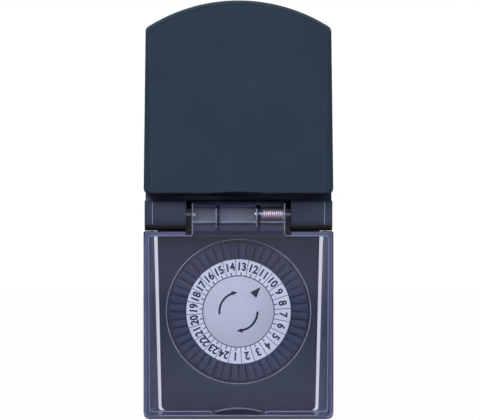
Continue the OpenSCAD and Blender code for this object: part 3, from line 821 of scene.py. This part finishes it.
@dataclass
class ClearLid:
    """The smoked lid over the dial, with its hinge tongue and finger recess."""

    top_drop: float = 12.0 * MM
    corner: float = 2.7 * MM
    top_corner: float = 1.0 * MM
    wall: float = 1.6 * MM
    front: float = 2 * MM
    rear_top_half: float = 35.4 * MM
    rear_foot_half: float = 33.5 * MM
    rear_lift: float = 0.8 * MM
    tongue_half: float = 20.4 * MM
    tongue_radius: float = 5.5 * MM
    cheek: float = 2.4 * MM
    rib: float = 1.4 * MM
    rib_places: tuple[float, float] = (-8.1 * MM, 7.9 * MM)
    pin_hole: float = 1.3 * MM
    recess_half: float = 9 * MM
    recess_rise: float = 1.1 * MM
    bead: float = 0.24 * MM
    low: Vector = field(default_factory=lambda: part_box("timer_lid")[0])
    high: Vector = field(default_factory=lambda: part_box("timer_lid")[1])

    @property
    def axis(self) -> Vector:
        """Middle of the hinge."""
        return joint_point("lid_hinge")

    @property
    def top(self) -> float:
        """Height of the lid's shoulders."""
        return self.high.z - self.top_drop

    def outline(self, share: float, inset: float) -> list[Point]:
        """Gives the lid's outline at a share of its depth.

        Args:
            share: 0 at the front, 1 at the rear edge.
            inset: Distance drawn in from the outside.

        Returns:
            Points of X and height, in order round the outline.
        """
        front_half = self.high.x
        top_half = front_half + (self.rear_top_half - front_half) * share - inset
        foot_half = front_half + (self.rear_foot_half - front_half) * share - inset
        foot = self.low.z + self.rear_lift * share + inset
        top = self.top - inset
        top_radius = max(self.top_corner - 0.4 * inset, 0.4 * MM)
        foot_radius = max(self.corner - 0.8 * inset, 0.7 * MM)
        corners = [Vector(c) for c in ((-top_half, top), (-foot_half, foot), (foot_half, foot), (top_half, top))]
        points = []
        for k, corner in enumerate(corners):
            radius = foot_radius if k in (1, 2) else top_radius
            points += fillet(corner, corners[k - 1], corners[(k + 1) % 4], radius, 7)
        return [(p.x, p.y) for p in points]

    def shell(self) -> bpy.types.Object:
        """Builds the front and the skirt, open behind the hinge axis."""
        deep = self.high.y - self.low.y
        line = [
            Vector((0, 0, 0.9 * MM)),
            Vector((0, 0, 0)),
            Vector((deep, 1, 0)),
            Vector((deep, 1, self.wall)),
            Vector((self.front, self.front / deep, self.wall)),
            Vector((self.front, self.front / deep, self.wall + 0.7 * MM)),
        ]
        rings = []
        for step in soften(line, 0.45 * MM, 4):
            rings.append(front_ring(self.outline(max(0.0, step.y), step.z), self.low.y + step.x))
        lid = loft("timer_lid_clear", rings)
        inner = self.rear_top_half - self.wall
        opening = [(-inner, self.top - 4 * MM), (inner, self.top - 4 * MM), (inner, self.top + 4 * MM),
                   (-inner, self.top + 4 * MM)]
        return combine(lid, slab("opening", opening, self.axis.y, self.high.y + MM), "DIFFERENCE")

    def profile(self, inset: float, low: float) -> list[Point]:
        """Gives the tongue's profile in Y and height, drawn in from its outside.

        Args:
            inset: Distance drawn in.
            low: Height of its lower end.

        Returns:
            Points of Y and height, in order round the profile.
        """
        radius = self.tongue_radius - inset
        over = arc((self.axis.y, self.axis.z), radius, 180, -90, 30)
        return [(self.axis.y - radius, low), *over, (self.axis.y, low)]

    def tongue(self) -> bpy.types.Object:
        """Builds the hinge tongue: curved front, two cheeks and two ribs, open behind."""
        half = self.tongue_half
        made = slab_x("tongue", self.profile(0, self.top - MM), -half, half)
        hollow_half = half - self.cheek
        hollow = slab_x("hollow", self.profile(self.wall, self.top - 2 * MM), -hollow_half, hollow_half)
        combine(made, hollow, "DIFFERENCE")
        y, z, r = self.axis.y, self.axis.z, self.tongue_radius
        behind = [(y, z - r - 3 * MM), (y + r + MM, z - r - 3 * MM), (y + r + MM, z + 2.5 * MM),
                  (y, z + 2.5 * MM)]
        combine(made, slab_x("behind", behind, -hollow_half, hollow_half), "DIFFERENCE")
        for place in self.rib_places:
            flat = self.profile(self.wall / 2, self.top - 0.5 * MM)
            rib = slab_x("rib", flat, place - self.rib / 2, place + self.rib / 2)
            combine(made, rib, "UNION")
        return made

    def finger_lens(self) -> bpy.types.Object:
        """Builds the arched rib over the finger recess, on the lower wall's inside."""
        bow = (self.recess_half**2 + self.recess_rise**2) / (2 * self.recess_rise)
        spread = math.degrees(math.asin(self.recess_half / bow))
        base = self.low.z + self.wall + 0.9 * MM
        over = arc((0, base + self.recess_rise - bow), bow, 90 + spread, 90 - spread, 20)
        low = self.low.z + self.wall * 0.6
        outline = [(-self.recess_half, low), *over, (self.recess_half, low)]
        return slab("lens", outline, self.low.y + self.front * 0.8, self.low.y + 7 * MM)

    def build(self) -> None:
        """Builds the lid, drills its tongue and puts it on its body."""
        lid = self.shell()
        combine(lid, self.tongue(), "UNION")
        combine(lid, self.finger_lens(), "UNION")
        hole = slab_x("hole", arc((self.axis.y, self.axis.z), self.pin_hole, 0, 352.5, 47),
                      -self.tongue_half * 1.1, self.tongue_half * 1.1)
        combine(lid, hole, "DIFFERENCE")
        round_edges(lid, 0.15 * MM, 40)
        SHELF.apply(lid, "smoked_clear", "smoked_clear")
        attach(lid, "lid")
        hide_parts("timer_lid")
        report(lid, "lid")
        self.beads()

    def bead_paths(self) -> list[list[Vector]]:
        """Gives the lines along the lid's inner corners where pale beads paint the highlights of its polished edges."""
        depth = self.low.y + self.front
        side, foot = self.high.x - 1.9 * MM, self.low.z + 2.9 * MM
        shoulder = self.top - 1.9 * MM
        cheek = self.tongue_half - self.cheek + 0.2 * MM
        crown = self.axis.z + self.tongue_radius * 0.8
        half = [Vector((cheek, depth, crown)), Vector((cheek, depth, shoulder)), Vector((side, depth, shoulder)),
                Vector((side - 0.4 * MM, depth, foot))]
        tick = self.recess_half + 1.7 * MM
        right = soften([*half, Vector((tick, depth, foot)), Vector((tick, depth, foot - 0.9 * MM))], 1.0 * MM, 4)
        left = [Vector((-p.x, p.y, p.z)) for p in right]
        rise = 1.3 * MM
        bow = (self.recess_half**2 + rise**2) / (2 * rise)
        spread = math.degrees(math.asin(self.recess_half / bow))
        over = arc((0, foot + rise - bow), bow, 90 + spread, 90 - spread, 20)
        sill = self.top + 3.5 * MM
        first, second = self.rib_places
        gap = self.rib / 2 + 0.25 * MM
        inner = self.low.y + self.wall
        paths = [right, left, [Vector((x, depth, z)) for x, z in over]]
        for low, high in ((-cheek, first - gap), (first + gap, second - gap), (second + gap, cheek)):
            paths.append([Vector((low, inner, sill)), Vector((high, inner, sill))])
        for place in self.rib_places:
            edge = place - self.rib / 2
            paths.append([Vector((edge, inner, self.top + 1.6 * MM)), Vector((edge, inner, self.axis.z + 2 * MM))])
        return paths

    def beads(self) -> None:
        """Builds pale beads along the lid's inner corners as painted highlights."""
        parts = [tube("bead", path, self.bead, 8) for path in self.bead_paths()]
        depth, sill = self.low.y + 1.3 * MM, self.low.z + 1.25 * MM
        parts.append(tube("bead", [Vector((x * 31.5 * MM, depth, sill)) for x in (-1, 0, 1)], self.bead * 0.7, 8))
        for side in (-1, 1):
            middle = (side * (self.high.x - self.corner), self.low.z + self.corner)
            turn = 270 + side * 45
            bend = arc(middle, self.corner - 0.45 * MM, turn - 38, turn + 38, 12)
            parts.append(tube("bead", [Vector((x, depth, z)) for x, z in bend], self.bead * 0.6, 8))
        # These pale beads are painted highlights, not moulded parts.
        made = join("lid_painted_highlights", parts)
        for face in made.data.polygons:
            face.use_smooth = True
        SHELF.apply(made, "lid_painted_highlight", "smoked_clear")
        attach(made, "lid")
        report(made, "lid")
        self.edge_band()
        self.back()
        self.apron()

    def edge_band(self) -> None:
        """Builds a pale band inside the lid's outer wall, open at the tongue, as painted light along the lid's rim."""
        front, rear = self.low.y + self.front - 0.1 * MM, self.low.y + self.front + 0.1 * MM
        made = slab("lid_rim_painted_band", self.outline(0, 0.4 * MM), front, rear)
        combine(made, slab("inside", self.outline(0, 1.6 * MM), front - MM, rear + MM), "DIFFERENCE")
        reach = self.tongue_half + 0.5 * MM
        gap = [(-reach, self.top - 3 * MM), (reach, self.top - 3 * MM), (reach, self.top + MM),
               (-reach, self.top + MM)]
        combine(made, slab("gap", gap, front - MM, rear + MM), "DIFFERENCE")
        SHELF.apply(made, "lid_rim_painted_light", "smoked_clear")
        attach(made, "lid")
        report(made, "lid")

    def apron(self) -> None:
        """Builds a dark plate behind the tongue's root, below the hinge, as painted shade where the lid meets the
        blocks.
        """
        half = self.tongue_half - self.cheek
        depth = self.low.y + self.front + 0.25 * MM
        outline = [(-half, self.top - 2.2 * MM), (half, self.top - 2.2 * MM), (half, self.top + 2.3 * MM),
                   (-half, self.top + 2.3 * MM)]
        made = slab("tongue_painted_shade", outline, depth, depth + 0.4 * MM)
        round_edges(made, 0.1 * MM)
        SHELF.apply(made, "shell_plastic", "shell_plastic")
        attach(made, "lid")
        report(made, "lid")

    def back(self) -> None:
        """Builds a thin pale sheet behind the hinge pins that closes the tongue's hollow and paints the light seen
        through the tongue.
        """
        y, z, reach = self.axis.y, self.axis.z, self.tongue_radius - self.wall
        outer = arc((y, z), reach, 115, -62, 24)
        inner = arc((y, z), reach - 0.3 * MM, -62, 115, 24)
        half = self.tongue_half - self.cheek - 0.1 * MM
        made = slab_x("pale_painted_light", outer + inner, -half, half)
        round_edges(made, 0.05 * MM)
        SHELF.apply(made, "pale_painted_light", "smoked_clear")
        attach(made, "lid")
        report(made, "lid")


@dataclass
class BlockTrim:
    """Dark strips under the two hinge blocks as painted shade, and a fine pale line near each block's side as a painted
    highlight.
    """

    inner: float = 20.75 * MM
    outer: float = 37.05 * MM
    foot_drop: float = 11.8 * MM
    front_step: float = 1 * MM
    rounding: float = 4 * MM
    thick: float = 0.08 * MM
    line_place: float = 34.0 * MM
    line_half: float = 0.09 * MM

    def build(self) -> None:
        """Builds the painted shade strips and the painted highlight lines on the housing."""
        low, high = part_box("timer_lid")
        foot, front = high.z - self.foot_drop, low.y + self.front_step
        centre = (front + self.rounding, foot + self.rounding)
        over = arc(centre, self.rounding + self.thick, 208, 270, 14)
        under = arc(centre, self.rounding - self.thick, 270, 208, 14)
        shade_strips, lines = [], []
        for side in (-1, 1):
            start, end = sorted((side * self.inner, side * self.outer))
            shade_strips.append(slab_x("shade_strip", over + under, start, end))
            # Pale line near the block's side: a painted highlight.
            left, right = side * self.line_place - self.line_half, side * self.line_place + self.line_half
            base, crown = foot + 2.4 * MM, foot + 11.2 * MM
            outline = [(left, base), (right, base), (right, crown), (left, crown)]
            lines.append(slab("line", outline, front - 0.05 * MM, front + 0.05 * MM))
        # The strips under the blocks take the black rubber finish as painted shade.
        for name, parts, finish in (("block_painted_shade", shade_strips, "black_rubber"), ("block_painted_highlights", lines, "pale_painted_light")):
            made = join(name, parts)
            round_edges(made, 0.02 * MM)
            SHELF.apply(made, finish, "shell_plastic")
            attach(made, "housing")
            report(made, "housing")


# --- Springs ---


@dataclass
class HingeSpring:
    """A close-wound torsion spring on a hinge pin, with two straight legs."""

    name: str
    node: str
    joint: str
    turns: float
    wire: float = 0.33 * MM
    legs: tuple[float, float] = (200, -60)
    leg_length: float = 1.5 * MM

    def build(self) -> None:
        """Winds the spring, bends its legs and puts it on the housing."""
        low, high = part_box(self.node)
        axis = joint_point(self.joint)
        radius = (high.z - low.z) / 2 - self.wire - 0.02 * MM
        steps = int(self.turns * 36)
        start = math.radians(self.legs[0])
        width = high.x - low.x - 2 * self.wire
        path = []
        for k in range(steps + 1):
            turn = start + 2 * math.pi * self.turns * k / steps
            x = low.x + self.wire + width * k / steps
            path.append(Vector((x, axis.y + radius * math.cos(turn), axis.z + radius * math.sin(turn))))
        first, last = path[0], path[-1]
        leave = (path[0] - path[1]).normalized()
        leave_end = (path[-1] - path[-2]).normalized()
        path.insert(0, first + leave * self.leg_length)
        path.append(last + leave_end * self.leg_length)
        spring = tube(self.name, path, self.wire, 12)
        for face in spring.data.polygons:
            face.use_smooth = True
        SHELF.apply(spring, "spring_steel", "spring_steel")
        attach(spring, "housing")
        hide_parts(self.node)
        report(spring, "housing")


# --- Dial ---


@dataclass
class DialFace:
    """The printed number ring, and the fixed centre disc's pointer and arrows."""

    ring_in: float = 14.35 * MM
    ring_out: float = 20.75 * MM
    ring_lift: float = 0.12 * MM
    ink_lift: float = 0.05 * MM
    number_radius: float = 17.7 * MM
    number_size: float = 4.35 * MM
    number_narrow: float = 0.9
    web_in: float = 20.95 * MM
    web_out: float = 27.6 * MM
    web_degrees: float = 0.9
    web_rise: float = 0.24 * MM
    first_angle: float = 4.0
    line_angle: float = -3.5
    hours: int = 24
    middle: Vector = field(default_factory=lambda: joint_point("dial_turn"))

    @property
    def front(self) -> float:
        """Depth of the dial's raised face."""
        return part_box("dial")[0].y

    def at(self, radius: float, clockwise: float) -> Point:
        """Gives the place at a radius and an angle clockwise from the top.

        Args:
            radius: Distance from the dial's middle.
            clockwise: Angle in degrees.

        Returns:
            X and height.
        """
        a = math.radians(clockwise)
        return self.middle.x + radius * math.sin(a), self.middle.z + radius * math.cos(a)

    def ring(self) -> None:
        """Builds the pale ring that carries the numbers."""
        front, rear = self.front - self.ring_lift, self.front + 0.05 * MM
        edge = 0.06 * MM
        profile = [
            (self.ring_in, rear), (self.ring_in, front + edge), (self.ring_in + edge, front),
            (self.ring_out - edge, front), (self.ring_out, front + edge), (self.ring_out, rear),
        ]
        made = turned("number_ring", profile, self.middle, 144)
        round_edges(made, 0.02 * MM)
        SHELF.apply(made, "ring_plastic", "dial_plastic")
        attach(made, "dial")
        report(made, "dial")

    def webs(self) -> None:
        """Builds the raised bars between the tappets' slots."""
        front, rear = self.front + 0.4 * MM - self.web_rise, self.front + 0.45 * MM
        parts = []
        for k in range(2 * self.hours):
            turn = k * 180 / self.hours
            outline = [self.at(radius, turn + side * self.web_degrees / 2)
                       for radius, side in ((self.web_in, -1), (self.web_out, -1), (self.web_out, 1), (self.web_in, 1))]
            parts.append(slab("web", outline, front, rear))
        made = join("dial_webs", parts)
        round_edges(made, 0.04 * MM)
        SHELF.apply(made, "tappet_plastic", "dial_plastic")
        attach(made, "dial")
        report(made, "dial")

    def number(self, text: str, clockwise: float, depth: float) -> bpy.types.Object:
        """Builds one number as thin raised print.

        Args:
            text: The number.
            clockwise: Its angle from the top, in degrees.
            depth: Depth of the surface that it lies on.

        Returns:
            The number as a mesh.
        """
        curve = bpy.data.curves.new("number", "FONT")
        curve.body = text
        curve.size = self.number_size
        curve.align_x = "CENTER"
        curve.align_y = "CENTER"
        curve.offset = 0.15 * MM
        curve.extrude = self.ink_lift / 2
        curve.resolution_u = 6
        sample = bpy.data.objects.new("number", curve)
        bpy.context.scene.collection.objects.link(sample)
        x, z = self.at(self.number_radius, clockwise)
        turn = Matrix.Rotation(math.radians(clockwise), 4, "Y")
        stand = Matrix.Rotation(math.radians(90), 4, "X")
        narrow = Matrix.Diagonal((self.number_narrow, 1, 1, 1))
        sample.matrix_world = Matrix.Translation((x, depth, z)) @ turn @ stand @ narrow
        bpy.context.view_layer.update()
        mesh = bpy.data.meshes.new_from_object(sample.evaluated_get(bpy.context.evaluated_depsgraph_get()))
        mesh.transform(sample.matrix_world)
        bpy.data.objects.remove(sample)
        return make_object("number", mesh)

    def stroke(self, inner: float, outer: float, clockwise: float, width: float, depth: float) -> bpy.types.Object:
        """Builds one radial line of print.

        Args:
            inner: Radius of its inner end.
            outer: Radius of its outer end.
            clockwise: Its angle from the top, in degrees.
            width: Its width.
            depth: Depth of the surface that it lies on.

        Returns:
            The line as a mesh.
        """
        half_in = math.degrees(width / 2 / inner)
        half_out = math.degrees(width / 2 / outer)
        outline = [
            self.at(inner, clockwise - half_in), self.at(outer, clockwise - half_out),
            self.at(outer, clockwise + half_out), self.at(inner, clockwise + half_in),
        ]
        return slab("stroke", outline, depth - self.ink_lift, depth)

    def scale_print(self) -> None:
        """Prints the numbers, the hour lines and the half-hour ticks."""
        depth = self.front - self.ring_lift
        step = 360 / self.hours
        parts = []
        for hour in range(1, self.hours + 1):
            place = self.first_angle + step * (self.hours // 2 + 1 - hour)
            parts.append(self.number(str(hour), place, depth - self.ink_lift / 2))
            line = self.line_angle + step * hour
            parts.append(self.stroke(self.ring_in, self.ring_out, line, 0.24 * MM, depth))
            parts.append(self.stroke(self.ring_in + 0.1 * MM, self.ring_in + 1.3 * MM, line + step / 2,
                                     0.42 * MM, depth))
        made = join("dial_numbers", parts)
        SHELF.apply(made, "print_ink", "dial_plastic")
        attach(made, "dial")
        report(made, "dial")

    def arrow(self, start: float, end: float, depth: float) -> list[bpy.types.Object]:
        """Builds one curved arrow that points clockwise.

        Args:
            start: Angle of its tail from the top, in degrees clockwise.
            end: Angle of its tip.
            depth: Depth of the surface that it lies on.

        Returns:
            The arrow's stroke and head.
        """
        radius, half = 7.55 * MM, 0.42 * MM
        steps = 24
        neck = end - 12
        angles = [start + (neck - start) * k / steps for k in range(steps + 1)]
        outer = [self.at(radius + half, a) for a in angles]
        inner = [self.at(radius - half, a) for a in angles]
        bend = slab("bend", outer + inner[::-1], depth - self.ink_lift, depth)
        head = [self.at(radius + 1.15 * MM, neck - 2), self.at(radius + 0.15 * MM, end + 4),
                self.at(radius - 0.75 * MM, neck - 1)]
        return [bend, slab("head", head, depth - self.ink_lift, depth)]

    def disc_print(self) -> None:
        """Prints the pointer and the two arrows on the fixed centre disc."""
        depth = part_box("pointer_disc")[0].y
        tip, base, half = 13.1 * MM, 8.9 * MM, 10.6
        pointer = [self.at(tip, 42), self.at(base, 42 + half), self.at(base, 42 - half)]
        parts = [slab("pointer", pointer, depth - self.ink_lift, depth)]
        parts += self.arrow(262, 354, depth) + self.arrow(90, 182, depth)
        made = join("disc_print", parts)
        SHELF.apply(made, "print_ink", "disc_plastic")
        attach(made, "housing")
        report(made, "housing")

    def face_line(self) -> None:
        """Builds the fine raised line round the dial's opening in the face, pale all round as a painted highlight."""
        middle, half, rise = 28.65 * MM, 0.17 * MM, 0.14 * MM
        front = self.front + 0.4 * MM
        profile = [(middle - half, front + 0.05 * MM), (middle - half * 0.5, front - rise),
                   (middle + half * 0.5, front - rise), (middle + half, front + 0.05 * MM)]
        made = turned("face_line", profile, self.middle, 144)
        SHELF.apply(made, "face_line", "shell_plastic")
        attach(made, "housing")
        report(made, "housing")

    def build(self) -> None:
        """Builds the ring, both prints and the line round the dial."""
        self.face_line()
        self.webs()
        self.ring()
        self.scale_print()
        self.disc_print()


# --- Carried-over nodes ---


@dataclass
class FrameNodes:
    """The frame's own pieces, which get rounded edges and their finish."""

    edges: dict[str, float] = field(default_factory=lambda: {
        "front_shell": 0.3 * MM, "rear_shell": 0.5 * MM, "socket_well": 0.25 * MM, "plug_base": 0.3 * MM,
        "shell_screws": 0.12 * MM, "pointer_disc": 0.1 * MM, "movement_plate": 0.1 * MM,
        "line_pin": 0.1 * MM, "neutral_pin": 0.1 * MM, "motor_can": 0.4 * MM, "motor_coil": 0.4 * MM,
        "dial": 0.06 * MM, "drive_wheel": 0.05 * MM, "output_pinion": 0.05 * MM,
        "shell_gasket": 0.05 * MM,
    })
    plain_edge: float = 0.1 * MM

    def build(self, replaced: Iterable[str]) -> None:
        """Dresses every node that still shows.

        Args:
            replaced: Nodes that a modelled piece stands for.
        """
        slots = {row["node"]: row["material_slot"] for row in frame["record"]["subparts"]}
        gone = set(replaced)
        for name, node in frame["nodes"].items():
            if name in gone:
                continue
            round_edges(node, self.edges.get(name, self.plain_edge), 34)
            SHELF.apply(node, slots[name])
            report(node, node["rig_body"])


# --- Stage ---


@dataclass
class Studio:
    """Floor, lamps, plain white surroundings and the camera."""

    distance: float = 1.2
    frame_width: float = 0.1886
    eye_height: float = -37.5 * MM
    eye_side: float = 0.6 * MM
    sensor: float = 36.0
    floor_drop: float = 0.03

    def white_for_sight(self, tree: bpy.types.NodeTree) -> bpy.types.NodeSocket:
        """Adds the ray types that see plain white.

        Args:
            tree: The node tree to add to.

        Returns:
            A socket that is 1 for camera and transmitted rays.
        """
        path = tree.nodes.new("ShaderNodeLightPath")
        last = path.outputs["Is Camera Ray"]
        for name in ("Is Transmission Ray",):
            pick = tree.nodes.new("ShaderNodeMath")
            pick.operation = "MAXIMUM"
            tree.links.new(last, pick.inputs[0])
            tree.links.new(path.outputs[name], pick.inputs[1])
            last = pick.outputs["Value"]
        return last

    def surroundings(self) -> None:
        """Makes the world: white to the eye and soft grey as a light."""
        world = bpy.data.worlds.new("studio")
        bpy.context.scene.world = world
        world.use_nodes = True
        tree = world.node_tree
        tree.nodes.clear()
        seen = tree.nodes.new("ShaderNodeBackground")
        seen.inputs["Color"].default_value = (1, 1, 1, 1)
        light = tree.nodes.new("ShaderNodeBackground")
        light.inputs["Color"].default_value = (0.97, 0.98, 1, 1)
        light.inputs["Strength"].default_value = 0.55
        mix = tree.nodes.new("ShaderNodeMixShader")
        out = tree.nodes.new("ShaderNodeOutputWorld")
        tree.links.new(self.white_for_sight(tree), mix.inputs["Fac"])
        tree.links.new(light.outputs["Background"], mix.inputs[1])
        tree.links.new(seen.outputs["Background"], mix.inputs[2])
        tree.links.new(mix.outputs["Shader"], out.inputs["Surface"])

    def floor(self) -> None:
        """Lays a pale floor under the object that keeps its shadow."""
        level = CAD_BOX[0].z - self.floor_drop
        bpy.ops.mesh.primitive_plane_add(size=6, location=(0, 0, level))
        ground = bpy.context.object
        ground.name = "floor"
        material = bpy.data.materials.new("floor_paper")
        material.use_nodes = True
        tree = material.node_tree
        tree.nodes.clear()
        paper = tree.nodes.new("ShaderNodeBsdfDiffuse")
        paper.inputs["Color"].default_value = (0.35, 0.35, 0.36, 1)
        glow = tree.nodes.new("ShaderNodeEmission")
        glow.inputs["Strength"].default_value = 1.0
        mix = tree.nodes.new("ShaderNodeMixShader")
        share = tree.nodes.new("ShaderNodeMath")
        share.operation = "MULTIPLY"
        share.inputs[1].default_value = 0.985
        out = tree.nodes.new("ShaderNodeOutputMaterial")
        tree.links.new(self.white_for_sight(tree), share.inputs[0])
        tree.links.new(share.outputs["Value"], mix.inputs["Fac"])
        tree.links.new(paper.outputs["BSDF"], mix.inputs[1])
        tree.links.new(glow.outputs["Emission"], mix.inputs[2])
        tree.links.new(mix.outputs["Shader"], out.inputs["Surface"])
        ground.data.materials.append(material)

    def lamp(self, name: str, place: Colour, size: float, power: float) -> None:
        """Hangs one soft square lamp that faces the object.

        Args:
            name: Name of the lamp.
            place: Where it hangs.
            size: Length of its side.
            power: Its power in watts.
        """
        light = bpy.data.lights.new(name, "AREA")
        light.shape = "SQUARE"
        light.size = size
        light.energy = power
        made = bpy.data.objects.new(name, light)
        bpy.context.scene.collection.objects.link(made)
        made.location = place
        aim = (CAD_BOX[0] + CAD_BOX[1]) / 2 - Vector(place)
        made.rotation_euler = aim.to_track_quat("-Z", "Y").to_euler()

    def camera(self) -> None:
        """Stands the camera level in front of the object."""
        data = bpy.data.cameras.new("camera")
        data.sensor_width = self.sensor
        data.lens = self.sensor * self.distance / self.frame_width
        data.clip_start = 0.01
        made = bpy.data.objects.new("camera", data)
        bpy.context.scene.collection.objects.link(made)
        made.location = (self.eye_side, CAD_BOX[0].y - self.distance, self.eye_height)
        made.rotation_euler = (math.radians(90), 0, 0)
        bpy.context.scene.camera = made

    def build(self) -> None:
        """Sets up the whole studio."""
        bpy.context.scene.view_settings.view_transform = "Standard"
        self.surroundings()
        self.floor()
        self.lamp("key", (-0.5, -0.9, 0.75), 0.6, 15)
        self.lamp("fill", (0.8, -0.8, 0.3), 0.7, 6)
        self.lamp("back", (0.6, 1.0, 0.1), 0.7, 4)
        self.camera()


def main() -> None:
    """Builds the timer's visual model piece by piece."""
    logging.basicConfig(level=logging.INFO, format="%(name)s: %(message)s")
    Studio().build()
    SocketCover().build()
    ClearLid().build()
    BlockTrim().build()
    HingeSpring("lid_spring_wire", "lid_spring", "lid_hinge", 10.0).build()
    HingeSpring("cover_spring_wire", "flap_spring", "flap_hinge", 10.0).build()
    DialFace().build()
    FrameNodes().build(["socket_flap", "timer_lid", "lid_spring", "flap_spring"])


if __name__ == "__main__":
    main()
